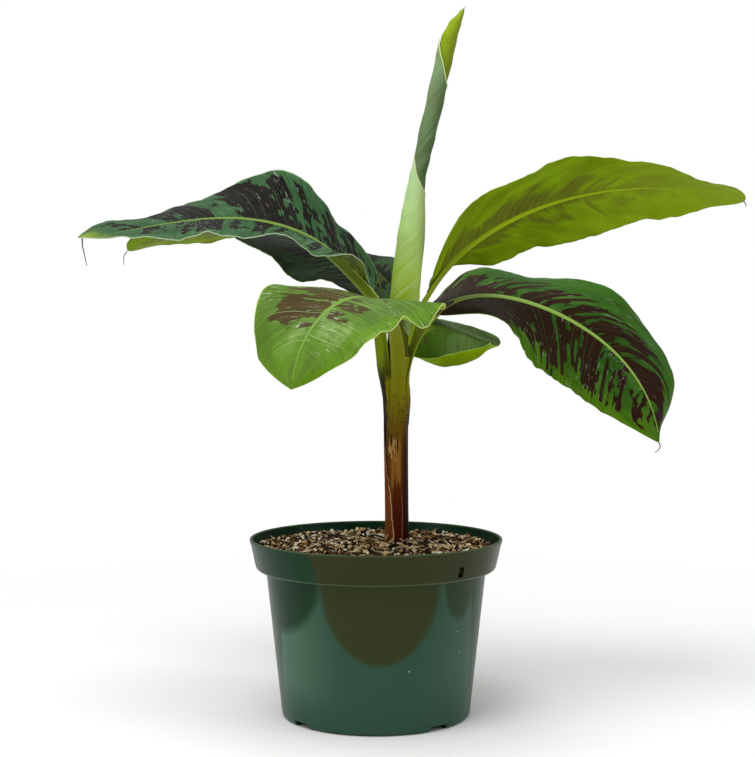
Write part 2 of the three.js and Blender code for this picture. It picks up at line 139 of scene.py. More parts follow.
def add_piece(bm, name, finishes, nodes=(), sharp=40):
    """The bmesh, in millimetres, as an object in metres that rides on the part."""
    bmesh.ops.scale(bm, vec=(MM, MM, MM), verts=bm.verts)
    mesh = bpy.data.meshes.new(name)
    bm.to_mesh(mesh)
    bm.free()
    for finish in finishes:
        mesh.materials.append(finish)
    mesh.shade_smooth()
    mesh.set_sharp_from_angle(angle=math.radians(sharp))
    piece = bpy.data.objects.new(name, mesh)
    bpy.context.scene.collection.objects.link(piece)
    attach(piece, "root")
    if nodes:
        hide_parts(*nodes)
    print(f"{name}: {len(mesh.vertices)} corners, {len(mesh.polygons)} faces")
    return piece


def thicken(piece, thick, offset=0):
    """Thickness in millimetres, half to each side of the sheet, or with an offset of -1 all behind it."""
    solid = piece.modifiers.new("thickness", "SOLIDIFY")
    solid.thickness, solid.offset = thick * MM, offset
    return solid


# %% [markdown]
# ## Shader sums as plain Python
#
# A procedural finish is mostly arithmetic on coordinates. Wiring Math nodes one by one hides the formula, so
# a small class wraps an output socket, and a sum on it adds the Math node. One method makes every other node
# from its type, its settings and the values or links of its sockets.

# %% The wire class
class Wire:
    """An output socket of a node tree, with arithmetic."""

    def __init__(self, tree, socket=None):
        self.tree, self.socket = tree, socket

    def node(self, kind, settings=None, sockets=None, out=0):
        """Adds a shader node, with its settings first and its sockets next, and gives one of its outputs."""
        made = self.tree.nodes.new("ShaderNode" + kind)
        settings = dict(settings or {})
        stops = settings.pop("stops", None)
        for key, value in settings.items():
            setattr(made, key, value)
        if stops:
            while len(made.color_ramp.elements) < len(stops):
                made.color_ramp.elements.new(0.5)
            for element, (position, colour) in zip(made.color_ramp.elements, stops):
                element.position, element.color = position, colour
        for key, value in (sockets or {}).items():
            if isinstance(value, Wire):
                self.tree.links.new(value.socket, made.inputs[key])
            else:
                made.inputs[key].default_value = value
        return Wire(self.tree, made.outputs[out])

    def math(self, operation, *values):
        return self.node("Math", {"operation": operation}, dict(enumerate(values)))

    def __add__(self, other):
        return self.math("ADD", self, other)

    def __mul__(self, other):
        return self.math("MULTIPLY", self, other)

    def __sub__(self, other):
        return self.math("SUBTRACT", self, other)

    def __rsub__(self, other):
        return self.math("SUBTRACT", other, self)

    def __truediv__(self, other):
        return self.math("DIVIDE", self, other)

    def __pow__(self, other):
        return self.math("POWER", self, other)

    def __abs__(self):
        return self.math("ABSOLUTE", self)

    __radd__ = __add__
    __rmul__ = __mul__


# %% [markdown]
# On top of it come the few patterns that all finishes share: a smooth step, a window between two heights, a
# mix of two colours, a noise, a point made of three numbers, a colour ramp, a bump, and the two ways to say
# where on the piece a point is. Most are one node, and giving them names keeps a finish short.

# %% Shared shader patterns
def step(value, low, high):
    """Smooth step of a wire from 0 at low to 1 at high."""
    return value.node(
        "MapRange", {"interpolation_type": "SMOOTHSTEP"}, {0: value, 1: low, 2: high, 3: 0.0, 4: 1.0})


def window(value, low, high, soft):
    """1 between low and high, 0 outside, with soft borders."""
    return step(value, low - soft, low + soft) * (1 - step(value, high - soft, high + soft))


def blend(mask, first, second):
    """First colour where the mask is 0, second where it is 1."""
    return mask.node("Mix", {"data_type": "RGBA"}, {0: mask, 6: first, 7: second}, out=2)


def point(x, y, z):
    """Three numbers as one vector."""
    root = next(v for v in (x, y, z) if isinstance(v, Wire))
    return root.node("CombineXYZ", None, {0: x, 1: y, 2: z})


def cloud(vector, scale=1.0, detail=2.0, rough=0.5, twist=0.0):
    """Noise from 0 to 1 at a vector."""
    return vector.node("TexNoise", None, {
        "Vector": vector, "Scale": scale, "Detail": detail, "Roughness": rough, "Distortion": twist})


def colour_ramp(value, *stops):
    """Colour at a value from 0 to 1. Each stop is a value and its colour, in screen values."""
    return value.node("ValToRGB", {"stops": [(at, srgb(*screen)) for at, screen in stops]}, {0: value})


def bump(height, distance, strength=1.0):
    """Normal that a height between 0 and 1 gives, for a depth in millimetres."""
    return height.node("Bump", None, {"Height": height, "Distance": distance * MM, "Strength": strength})


def object_place(root):
    """Object coordinates in millimetres, as a vector and as its three numbers."""
    place = root.node("TexCoord", None, None, out=3)
    place = root.node("VectorMath", {"operation": "SCALE"}, {0: place, "Scale": 1 / MM})
    return place, [root.node("SeparateXYZ", None, {0: place}, out=i) for i in range(3)]


def grid_place(root):
    """How far along and around the skin's grid a point is, each from 0 to 1, out of its UV map."""
    uv = root.node("TexCoord", None, None, out=2)
    return [root.node("SeparateXYZ", None, {0: uv}, out=i) for i in range(2)]


def make_finish(name, constants, paint=lambda root: {}):
    """A material. constants set the shader's sockets, and paint gives the wires for the ones that vary."""
    material = bpy.data.materials.new(name)
    material.use_nodes = True
    tree = material.node_tree
    shader = tree.nodes["Principled BSDF"]
    for socket, value in constants.items():
        shader.inputs[socket].default_value = value
    for socket, wire in paint(Wire(tree)).items():
        tree.links.new(wire.socket, shader.inputs[socket])
    return material


# %% [markdown]
# ## Camera, floor and light
#
# The photo's camera was worked out from the pot: its rim, shoulder and foot are circles of known size, and
# only one camera sees all three as the ellipses that the photo shows. It stands 1.6 m away, a little above
# the rim's height, and looks down by about 2 degrees.
#
# The light is that of a product studio: a white sweep, a large soft box overhead and a weak one at each
# side. A room that is white all round would lay a haze over the dark leaves, because every surface mirrors
# a little of it. So the room is white to look at, but as a light it is dim at eye level and bright overhead.

# %% Camera
CAMERA = {"x": 1.5, "back": 1585, "height": 401, "down": 2.29, "focal_pixels": 1581, "frame_pixels": 755}

camera_data = bpy.data.cameras.new("camera")
camera_data.sensor_fit = "HORIZONTAL"
camera_data.sensor_width = 36
camera_data.lens = camera_data.sensor_width * CAMERA["focal_pixels"] / CAMERA["frame_pixels"]
camera = bpy.data.objects.new("camera", camera_data)
camera.location = Vector((CAMERA["x"], -CAMERA["back"], CAMERA["height"])) * MM
camera.rotation_euler = Euler((math.radians(90 - CAMERA["down"]), 0, 0))
bpy.context.scene.collection.objects.link(camera)
bpy.context.scene.camera = camera
print("lens", round(camera_data.lens, 1), "mm")


# %% White sweep
def sweep_finish():
    """White paper that turns into plain light far out, so that no horizon shows."""
    material = make_finish("pale_floor", {"Base Color": (0.93, 0.93, 0.93, 1), "Roughness": 0.9})
    tree = material.node_tree
    root = Wire(tree)
    _, (x, y, _) = object_place(root)
    glow = root.node("Emission", None, {"Color": (1, 1, 1, 1), "Strength": 1.0})
    paper = Wire(tree, tree.nodes["Principled BSDF"].outputs[0])
    far = step((x * x + y * y) ** 0.5, 200, 1150)
    mixed = root.node("MixShader", None, {0: far, 1: paper, 2: glow})
    tree.links.new(mixed.socket, tree.nodes["Material Output"].inputs["Surface"])
    return material


def add_floor(size=14000, drop=0.4):
    """A square of paper, a hair below the pot's foot, so that no two faces share a plane."""
    bm = bmesh.new()
    bmesh.ops.create_grid(bm, x_segments=1, y_segments=1, size=size * MM / 2)
    mesh = bpy.data.meshes.new("floor")
    bm.to_mesh(mesh)
    bm.free()
    mesh.materials.append(sweep_finish())
    floor = bpy.data.objects.new("floor", mesh)
    floor.location.z = -drop * MM
    bpy.context.scene.collection.objects.link(floor)


add_floor()


# %% Room and soft boxes
def add_soft_box(name, place, aim, width, height, watts):
    """Area light at place, in metres, that faces aim."""
    light = bpy.data.lights.new(name, "AREA")
    light.shape, light.size, light.size_y, light.energy = "RECTANGLE", width, height, watts
    lamp = bpy.data.objects.new(name, light)
    lamp.location = place
    lamp.rotation_euler = (Vector(aim) - Vector(place)).to_track_quat("-Z", "Y").to_euler()
    bpy.context.scene.collection.objects.link(lamp)


def add_room(level, overhead):
    """World that looks white, and lights with one strength at eye level and another overhead."""
    world = bpy.data.worlds.new("studio")
    world.use_nodes = True
    tree = world.node_tree
    root = Wire(tree)
    seen = root.node("LightPath", None, None, out=0)
    way = root.node("TexCoord", None, None, out=0)
    height = root.node("SeparateXYZ", None, {0: way}, out=2)
    glow = level + step(height, 0.0, 0.9) * (overhead - level)
    tree.nodes["Background"].inputs["Color"].default_value = (1, 1, 1, 1)
    tree.links.new((seen + (1 - seen) * glow).socket, tree.nodes["Background"].inputs["Strength"])
    bpy.context.scene.world = world


bpy.context.scene.view_settings.view_transform = "Standard"
add_room(0.3, 0.75)
add_soft_box("overhead_box", (-0.5, -0.7, 2.5), (0, 0, 0.4), 1.5, 1.5, 40)
add_soft_box("left_box", (-2.2, -1.3, 1.1), (0, 0, 0.3), 0.9, 1.8, 10)
add_soft_box("right_box", (2.3, -0.9, 1.0), (0, 0, 0.3), 0.9, 1.8, 6)

# %% [markdown]
# ## The pot
#
# The real pot is injection moulded: one thin wall of revolution with a stepped rim band, so its mesh is a
# profile spun round the axis. A lathe-like spin keeps the rounded lip and the shoulder exact, which stacked
# cylinders wouldn't. The hanger slots and the drain notches are cut out afterwards, as steel inserts do
# in the mould. A Boolean modifier does that best, and its result is then kept as the mesh.

# %% Pot sizes
POT = {
    "height": 178, "rim_radius": 127, "rim_low_radius": 120.1, "rim_low": 147, "body_top_radius": 110.5,
    "base_radius": 94.9, "wall": 2.3, "lip": 1.6, "floor_low": 4, "floor_high": 6.6, "foot_width": 5,
    "pad_radius": 34, "foot_round": 4.0, "band_round": 4.6,
}
SLOTS = {"count": 3, "first": -48.4, "width": 6.3, "low": 151.5, "high": 162}
NOTCHES = {"count": 4, "first": -140, "width": 22, "high": 5}
STEPS_ROUND = 192


def inner_radius(z):
    """Radius of the pot's inside at a height: the body's below the shoulder, the band's above it."""
    base, body, wall, low = POT["base_radius"], POT["body_top_radius"], POT["wall"], POT["rim_low"]
    if z <= low + wall:
        return base + (body - base) * z / low - wall
    rise = (POT["rim_radius"] - POT["rim_low_radius"]) * (z - low) / (POT["height"] - low)
    return POT["rim_low_radius"] + rise - wall


def pot_profile():
    """(radius, height) from under the middle, up the outside, over the lip and down to the inner floor."""
    low, wall, top, lip = POT["rim_low"], POT["wall"], POT["height"], POT["lip"]
    foot, foot_round = POT["base_radius"] - POT["foot_width"], POT["foot_round"]
    body, band, rim = POT["body_top_radius"], POT["rim_low_radius"], POT["rim_radius"]
    pad, under, floor, band_round = POT["pad_radius"], POT["floor_low"], POT["floor_high"], POT["band_round"]
    shoulder = inner_radius(low + wall + 1)
    return [
        (0, 0), (pad, 0), (pad + 3, under), (foot - 6, under), (foot - 3, 0.6), (foot - 2, 0),
        *arc(POT["base_radius"] - foot_round, foot_round, foot_round, -90, -6, 6),
        (body - 1.2, low - 12), (body - 0.1, low - 2.2), *arc(body + 1.8, low - 1.8, 1.8, 180, 90, 4),
        *arc(band - band_round + 0.9, low + band_round, band_round, -90, -10, 7),
        (rim - 1.1, top - 5.4), (rim - 0.5, top - 3.6), *arc(rim - lip, top - lip, lip, -20, 180, 10),
        (inner_radius(top - 4), top - 4), (shoulder, low + wall + 3), (shoulder - 2, low + wall),
        (inner_radius(low), low + wall), (inner_radius(low - 3) - 0.1, low - 3),
        *arc(inner_radius(floor) - 3, floor + 3, 3, 0, -90, 4), (0, floor),
    ]


print("the pot's mouth is", round(2 * inner_radius(POT["height"])), "mm wide inside")


# %% Spin the pot and cut its slots
def spun(profile, steps=STEPS_ROUND):
    """Surface of revolution round Z from (radius, height) points."""
    bm = bmesh.new()
    chain = [bm.verts.new((r, 0, z)) for r, z in profile]
    edges = [bm.edges.new(pair) for pair in zip(chain, chain[1:])]
    bmesh.ops.spin(
        bm, geom=chain + edges, cent=(0, 0, 0), axis=(0, 0, 1), angle=math.tau, steps=steps, use_merge=True)
    bmesh.ops.remove_doubles(bm, verts=bm.verts, dist=1e-3)
    bmesh.ops.dissolve_degenerate(bm, edges=bm.edges, dist=1e-4)
    bmesh.ops.recalc_face_normals(bm, faces=bm.faces)
    return bm


def cutter_boxes():
    """One mesh with a rounded box for each hanger slot and each drain notch."""
    bm = bmesh.new()
    band = (POT["rim_radius"] + POT["rim_low_radius"]) / 2 - 1.5
    slot_size = (12, SLOTS["width"], SLOTS["high"] - SLOTS["low"])
    notch_size = (22, NOTCHES["width"], NOTCHES["high"] + 4)
    for row, radius, z, size in (
            (SLOTS, band, (SLOTS["low"] + SLOTS["high"]) / 2, slot_size),
            (NOTCHES, POT["base_radius"] - 4, NOTCHES["high"] / 2 - 2, notch_size)):
        for i in range(row["count"]):
            turn = Matrix.Rotation(math.radians(row["first"] + 360 * i / row["count"]), 4, "Z")
            matrix = turn @ Matrix.Translation((radius, 0, z)) @ Matrix.Diagonal((*size, 1))
            bmesh.ops.create_cube(bm, size=1, matrix=matrix)
    bmesh.ops.bevel(bm, geom=bm.edges, affect="EDGES", offset=0.9, segments=3, profile=0.5, material=-1)
    bmesh.ops.scale(bm, vec=(MM, MM, MM), verts=bm.verts)
    return bm


def cut_with(piece, bm):
    """Takes the bmesh out of the piece, and keeps the result as its mesh."""
    mesh = bpy.data.meshes.new("cutter")
    bm.to_mesh(mesh)
    bm.free()
    cutter = bpy.data.objects.new("cutter", mesh)
    bpy.context.scene.collection.objects.link(cutter)
    tool = piece.modifiers.new("cut", "BOOLEAN")
    tool.operation, tool.solver, tool.object = "DIFFERENCE", "EXACT", cutter
    graph = bpy.context.evaluated_depsgraph_get()
    kept = bpy.data.meshes.new_from_object(piece.evaluated_get(graph))
    piece.modifiers.clear()
    piece.data = kept
    bpy.data.objects.remove(cutter)
    return piece


# %% [markdown]
# The plastic is dark green with a soft shine, and its reflections and shade are painted into its colour. A
# greyer, lighter green lower down, all round, and broad lighter zones on the side towards the viewer are
# painted reflections of the pale floor and the side lights. At the front an olive zone under the rim, round
# as a thumb's tip at its lower end, is a painted reflection, and a darker patch at its left and a smaller
# one at its right are painted shade. The rim band changes from green to a painted olive reflection at one
# soft upright line. Each zone is an ellipse or a strip in Object coordinates, and smooth steps soften its
# border.
#
# On top come a thin light line where the lip and the band's lower edge catch the light, a few scuffs, and
# specks of dried mix where a cell pattern comes near its points.

# %% Pot finish
def oval(x, z, middle_x, middle_z, wide, high, soft=0.12):
    """1 inside an ellipse in the x-z plane, 0 outside, with a soft border."""
    a, b = (x - middle_x) / wide, (z - middle_z) / high
    return 1 - step((a * a + b * b) ** 0.5, 1 - soft, 1 + soft)


def paint_pot(root):
    place, (x, y, z) = object_place(root)
    radius = (x * x + y * y) ** 0.5
    angle = root.math("ARCTAN2", x, 0 - y) * (180 / math.pi)
    front = 1 - step(y, -30, 10)
    outside = step(radius - z * 0.1, 90, 94)
    clouds, fine = cloud(place, 0.012, 3), cloud(place, 0.35, 2)
    away = abs(angle)
    wall = blend(step(clouds, 0.35, 0.65), srgb(9, 46, 24), srgb(13, 52, 30))
    body = outside * (1 - step(z, 144.5, 146.5))
    # Painted reflection of the pale floor: the body is a greyer, lighter green lower down, all round.
    wall = blend(body * (1 - step(z + clouds * 20, 60, 150)) * 0.7, wall, srgb(42, 72, 56))
    # Painted reflections of the side lights: broad lighter zones on the side towards the viewer, strongest
    # low at the left and the right.
    lit = body * (1 - step(away + z * 0.1, 70, 73))
    wall = blend(lit * (0.55 - step(z, 8, 130) * 0.1), wall, srgb(54, 88, 70))
    bright = lit * (1 - step(angle, -52, -14)) * step(z, 10, 50)
    wall = blend(bright * 0.75, wall, srgb(72, 106, 86))
    wall = blend(lit * step(angle, 20, 50) * step(z, 20, 60) * 0.45, wall, srgb(66, 94, 76))
    # Painted shade: a darker patch at the front left of the body and a smaller, more olive one at the front
    # right.
    wall = blend(oval(x, z, -98, 148, 44, 56) * body * front, wall, srgb(11, 48, 25))
    wall = blend(oval(x, z, 80, 148, 14, 40) * body * front, wall, srgb(38, 55, 30))
    # Painted reflection: an olive zone under the rim at the front, round at its lower end.
    wall = blend(oval(x, z, 4, 150, 57, 81, 0.05) * body * front, wall, srgb(47, 54, 22))
    # Painted reflection: the rim band turns olive from one soft upright line a little left of the front
    # round to the right, with rounded corners.
    corner = step(abs(z - 158), 8, 24) * 5
    band = step(z, 144.5, 146.5) * outside * step(angle + corner, -29.5, -27) * (1 - step(angle, 60, 110))
    wall = blend(band, wall, srgb(45, 50, 20))
    inner = step(z, 150, 160) * (1 - outside)
    wall = blend(inner, wall, srgb(22, 42, 28))
    rims = step(z, 176.0, 177.2) + (1 - step(abs(z - 148.2), 0.3, 1.2)) * outside
    wall = blend(rims * 0.4, wall, srgb(90, 108, 76))
    cells = root.node("TexVoronoi", {"feature": "F1"}, {"Vector": place, "Scale": 0.05, "Randomness": 1.0})
    specks = (1 - step(cells, 0.03, 0.05)) * step(cloud(place, 0.03, 1), 0.46, 0.54)
    return {
        "Base Color": blend(specks * 0.8, wall, srgb(170, 176, 158)),
        "Roughness": 0.26 + fine * 0.08 + clouds * 0.06 + specks * 0.4,
        "Normal": bump(cloud(place, 0.05, 2) + fine * 0.04, 0.25, 0.25),
    }


pot_finish = make_finish("pot_plastic", {"IOR": 1.49, "Specular IOR Level": 0.13}, paint_pot)
pot = add_piece(spun(pot_profile()), "nursery_pot", [pot_finish], ["pot"], sharp=28)
cut_with(pot, cutter_boxes())
pot.data.set_sharp_from_angle(angle=math.radians(28))
print("pot with slots and notches:", len(pot.data.polygons), "faces")

# %% [markdown]
# ## The potting mix
#
# Bark and peat settle into a low mound with lumps and pits. The bed is a round grid whose rings rise by
# noise, and it has a short skirt down the wall so that it is closed. What makes it look like mix is what
# lies on it: bark chips, fibres and white grains of perlite, each a small mesh made many times, partly sunk.

# %% Bed of mix
MIX = {"edge": 168.2, "crown": 171.2, "low": 151, "gap": 0.35, "top_share": 0.86}
STEM = {
    "x": 21.8, "y": 16, "low": 169, "top": 364,
    "foot_radius": 12.4, "mid_radius": 11.9, "top_radius": 13.6, "lean": 0.8,
}


def mix_height(x, y):
    """Height of the bed at a place: mound, lumps and small pits."""
    radius = math.hypot(x, y) / inner_radius(MIX["edge"])
    lumps = noise.noise(Vector((x * 0.045, y * 0.045, 3.1))) * 2.2
    lumps += noise.noise(Vector((x * 0.16, y * 0.16, 7.7))) * 1.9
    mound = MIX["edge"] + (MIX["crown"] - MIX["edge"]) * (1 - radius * radius)
    return mound + lumps * (1 - smooth(0.9, 1.0, radius) * 0.5)


def place_mix(s, a):
    """The top for the first share of s, then the skirt, then the closed underside."""
    angle, edge, top_share = a * math.tau, inner_radius(MIX["edge"]) - MIX["gap"], MIX["top_share"]
    if s <= top_share:
        radius = edge * s / top_share
        x, y = radius * math.cos(angle), radius * math.sin(angle)
        fine = noise.noise(Vector((x * 0.6, y * 0.6, 1.3))) * 0.9
        return Vector((x, y, mix_height(x, y) + fine))
    t = (s - top_share) / (1 - top_share)
    low_edge = inner_radius(MIX["low"] + 1) - 2.4
    radius = edge + (low_edge - edge) * min(1, t * 2) if t <= 0.5 else low_edge * (2 - 2 * t)
    z = mix_height(edge * math.cos(angle), edge * math.sin(angle))
    return Vector((radius * math.cos(angle), radius * math.sin(angle), z + (MIX["low"] - z) * min(1, t * 2)))


# %% [markdown]
# Wet peat is nearly black and dry bark fibre is tan, so the finish mixes the two by a fine, contrasty noise.
# The loose pieces share one finish that reads a tone from each piece: a number stored on its corners, from
# 0 for dark bark to 1 for pale straw.

# %% Mix finishes
def paint_mix(root):
    place, (x, y, z) = object_place(root)
    grains = cloud(place, 0.55, 4, 0.7)
    fibres = cloud(point(x * 0.25, y * 1.1, z * 0.6), 1.0, 3, 0.6, 1.5)
    dark = blend(step(grains, 0.48, 0.6), srgb(6, 3, 2), srgb(84, 58, 32))
    colour = blend(step(fibres, 0.56, 0.64) * 0.8, dark, srgb(148, 114, 74))
    return {"Base Color": colour, "Normal": bump(grains + fibres * 0.5, 1.6)}


def paint_bits(root):
    place, _ = object_place(root)
    tone = root.node("Attribute", {"attribute_name": "tone"}, None, out=2)
    grain = cloud(place, 0.9, 3, 0.6)
    colour = colour_ramp(
        tone + (grain - 0.5) * 0.6, (0.0, (7, 4, 2)), (0.28, (34, 21, 10)), (0.44, (124, 90, 46)),
        (0.6, (188, 152, 102)), (0.8, (232, 212, 172)), (1.0, (255, 250, 236)))
    return {"Base Color": colour, "Normal": bump(grain, 0.4)}


def paint_perlite(root):
    place, _ = object_place(root)
    pores = cloud(place, 1.6, 3, 0.6)
    colour = blend(step(pores, 0.35, 0.6), srgb(176, 166, 148), srgb(246, 243, 236))
    return {"Base Color": colour, "Normal": bump(pores, 0.3)}


mix_finish = make_finish("potting_mix", {"Roughness": 0.95, "Specular IOR Level": 0.1}, paint_mix)
bits_finish = make_finish("bark_bits", {"Roughness": 0.85, "Specular IOR Level": 0.12}, paint_bits)
perlite_finish = make_finish("perlite", {"Roughness": 0.8, "Specular IOR Level": 0.2}, paint_perlite)
add_piece(skin(96, 160, place_mix, closed=True), "mix_bed", [mix_finish], ["soil"], sharp=180)


# %% Loose pieces on the mix
def scatter(name, count, seed, make, finish, tones):
    """count small shapes on the bed, clear of the stem, each with its own turn, size and tone."""
    dice = random.Random(seed)
    bm = bmesh.new()
    tone = bm.verts.layers.float.new("tone")
    edge = inner_radius(MIX["edge"]) - 4.5
    placed = 0
    while placed < count:
        radius, angle = edge * math.sqrt(dice.random()), dice.uniform(0, math.tau)
        x, y = radius * math.cos(angle), radius * math.sin(angle)
        if math.hypot(x - STEM["x"], y - STEM["y"]) < STEM["foot_radius"] + 3:
            continue
        turn = Euler((dice.gauss(0, 0.4), dice.gauss(0, 0.4), dice.uniform(0, math.tau)))
        place = Matrix.Translation((x, y, mix_height(x, y) + dice.uniform(-0.3, 1.0)))
        verts = make(bm, place @ turn.to_matrix().to_4x4(), dice)
        value = dice.uniform(*tones)
        for v in verts:
            v[tone] = value
        placed += 1
    return add_piece(bm, name, [finish], sharp=50)


def chunk(bm, matrix, dice, size, rough):
    """Broken lump: a cube with each corner moved, and its edges cut off."""
    verts = bmesh.ops.create_cube(bm, size=1, matrix=matrix @ Matrix.Diagonal((*size, 1)))["verts"]
    for v in verts:
        v.co += Vector((dice.uniform(-1, 1), dice.uniform(-1, 1), dice.uniform(-0.6, 0.6))) * size[1] * rough
    edges = list({e for v in verts for e in v.link_edges})
    made = bmesh.ops.bevel(
        bm, geom=edges, affect="EDGES", offset=size[2] * 0.22, segments=1, profile=0.5, material=-1)
    return {v for f in made["faces"] for v in f.verts} | {v for v in verts if v.is_valid}


def bark_chip(bm, matrix, dice):
    size = (dice.uniform(2.0, 8.0), dice.uniform(1.2, 3.6), dice.uniform(0.9, 2.4))
    return chunk(bm, matrix, dice, size, 0.3)


def perlite_grain(bm, matrix, dice):
    long = dice.uniform(1.0, 3.2)
    size = (long, long * dice.uniform(0.5, 0.9), long * dice.uniform(0.4, 0.7))
    return chunk(bm, matrix, dice, size, 0.32)


def fibre(bm, matrix, dice):
    """Bent strand: a thin five-sided rod in four lengths."""
    length, radius, bend = dice.uniform(6, 20), dice.uniform(0.16, 0.42), dice.uniform(-0.5, 0.5)
    verts = []
    for i in range(5):
        u = i / 4 - 0.5
        spot = Vector((u * length, bend * length * (u * u - 0.12), 0.5 + (0.25 - u * u) * length * 0.12))
        place = matrix @ Matrix.Translation(spot) @ Matrix.Rotation(math.pi / 2, 4, "Y")
        ring = bmesh.ops.create_circle(
            bm, segments=5, radius=radius * (1 - abs(u)), cap_ends=False, matrix=place)["verts"]
        if verts:
            edges = {e for v in verts[-5:] + ring for e in v.link_edges if e.is_wire or e.is_boundary}
            bmesh.ops.bridge_loops(bm, edges=list(edges))
        verts += ring
    return verts


scatter("bark_chips", 1100, 11, bark_chip, bits_finish, (0.0, 0.74))
scatter("straw_chips", 330, 17, bark_chip, bits_finish, (0.66, 1.0))
scatter("peat_fibres", 420, 23, fibre, bits_finish, (0.1, 1.0))
scatter("perlite_grains", 120, 31, perlite_grain, perlite_finish, (0, 1))


# %% [markdown]
# A bleached twig lies at the back left of the mix, a yellow scrap of leaf at the right, and a few white
# rootlets leave the foot of the stem. They are single things that one notices, so they are placed one by
# one.
# A twig is a tapered tube along a few points: the grid skin again, wrapped round a chain.

# %% Twig, rootlets and a scrap
def strand_place(points, radius, tip, s, a):
    """Tube along the points, from one radius to another."""
    x = s * (len(points) - 1)
    i = min(int(x), len(points) - 2)
    here = Vector(points[i]).lerp(Vector(points[i + 1]), smooth(0, 1, x - i) * 0.4 + (x - i) * 0.6)
    along = (Vector(points[i + 1]) - Vector(points[i])).normalized()
    side = along.cross(Vector((0.3, 0.2, 1))).normalized()
    wide = (radius + (tip - radius) * s) * (0.35 if s in (0, 1) else 1)
    angle = math.tau * a
    return here + (side * math.cos(angle) + along.cross(side) * math.sin(angle)) * wide


def add_strand(name, points, radius, tip, finish):
    steps = 6 * (len(points) - 1)
    bm = skin(steps, 8, lambda s, a: strand_place(points, radius, tip, s, a), closed=True)
    return add_piece(bm, name, [finish], sharp=60)


def on_mix(x, y, over=0.6):
    return (x, y, mix_height(x, y) + over)


bleached = make_finish("bleached_wood", {"Base Color": srgb(214, 204, 184), "Roughness": 0.8})
rootlet = make_finish("white_root", {"Base Color": srgb(206, 170, 150), "Roughness": 0.6})
TWIGS = {
    # points, then the radius at the first and at the last of them
    "twig_left": ([on_mix(-72, 104), on_mix(-58, 98, 1.4), on_mix(-41, 86)], 0.9, 0.6),
    "twig_right": ([on_mix(-39, 73), on_mix(-24, 50, 1.6), on_mix(-11, 27)], 0.8, 0.3),
}
ROOTLETS = [
    [(12.5, 8, 180), (9.5, 4, 175), (6.5, 0, 172.6), (4.5, -4, 171)],
    [(24, 3.2, 176), (27, 2.0, 173.5), (31, 1.5, 174.5)],
    [(31, 8, 175), (34.5, 4, 172.5), (38, 1, 171.2)],
    [(17, 4.6, 176), (15.5, 1, 172.6), (12, -5, 171)],
]
for name, (points, radius, tip) in TWIGS.items():
    add_strand(name, points, radius, tip, bleached)
for i, points in enumerate(ROOTLETS, 1):
    add_strand(f"rootlet_{i}", points, 0.6, 0.2, rootlet)


def scrap_place(s, a):
    """Torn bit of yellow leaf, 13 by 7 mm, cupped, lying on the mix."""
    x, y = 56 + 13 * s, -19 + 7 * a + 2.5 * math.sin(s * 5)
    edge = 0.7 * noise.noise(Vector((s * 5, a * 5, 2)))
    return Vector((x + edge, y + edge, mix_height(x, y) + 1.0 + 1.6 * (s - 0.5) ** 2 * 4 + edge))


scrap_finish = make_finish("old_leaf", {"Base Color": srgb(168, 160, 84), "Roughness": 0.6})
thicken(add_piece(skin(10, 6, scrap_place), "leaf_scrap", [scrap_finish], sharp=60), 0.5)

# %% [markdown]
# ## The stem of wrapped sheaths
#
# A banana's stem is no wood: it is the feet of its leaves, wrapped tightly round each other. Its section is
# nearly round, with a low step wherever a sheath ends on the one below. The steps wind slowly round the
# stem. A tube with those steps in its radius shows them better than a stack of separate sleeves would, and
# it stays closed.

# %% Stem skin
SHEATH_EDGES = [
    # angle at the foot and at the top in degrees, and how far the step stands out
    {"foot": 290, "top": 300, "step": 0.9},
    {"foot": 200, "top": 176, "step": 1.0},
    {"foot": 80, "top": 96, "step": 0.9},
]


def stem_centre(z):
    """Middle of the stem at a height. It leans out a little half way up."""
    s = (z - STEM["low"]) / (STEM["top"] - STEM["low"])
    return Vector((STEM["x"] - STEM["lean"] * math.sin(math.pi * min(1, max(0, s))), STEM["y"], z))


def stem_radius(z, degrees):
    """Radius of the stem's skin at a height and an angle: taper, sheath steps and slight unevenness."""
    s = (z - STEM["low"]) / (STEM["top"] - STEM["low"])
    flare = (STEM["foot_radius"] - STEM["mid_radius"]) * (1 - min(1, s * 4)) ** 2
    crown = (STEM["top_radius"] - STEM["mid_radius"]) * s ** 4
    radius = STEM["mid_radius"] + flare + crown
    for sheath in SHEATH_EDGES:
        edge = sheath["foot"] + (sheath["top"] - sheath["foot"]) * s
        past = (degrees - edge) % 360
        rise = smooth(0, 5, past) * (1 - smooth(20, 150, past))
        radius += sheath["step"] * (rise - 0.35)
    a = math.radians(degrees)
    return radius + 0.25 * noise.noise(Vector((math.cos(a) * 1.2, math.sin(a) * 1.2, z * 0.02)))


def on_stem(z, degrees, off=0.0):
    """Point on the stem's skin, or a little off it."""
    radius, angle = stem_radius(z, degrees) + off, math.radians(degrees)
    return stem_centre(z) + Vector((radius * math.cos(angle), radius * math.sin(angle) * 0.97, 0))


def stem_place(s, a):
    z = STEM["low"] + (STEM["top"] - STEM["low"]) * s
    return stem_centre(z).lerp(on_stem(z, a * 360), 1 - 0.6 * smooth(0.97, 1, s))


# %% [markdown]
# The stem's colour tells its age. The foot is wet and deep wine red, with amber where an outer sheath has
# dried. Half way up one sheath has bleached to tan below a torn, spotted edge, and above it the stem turns
# from ochre to olive. Black flecks sit in belts, where a leaf has rubbed, and a black dried strip runs up
# the left. All of it is drawn in Object coordinates: the height gives the belts, and the angle round the
# stem, 0 at the front, places them. The stalks wrap the stem with their feet, so they use the same colours.

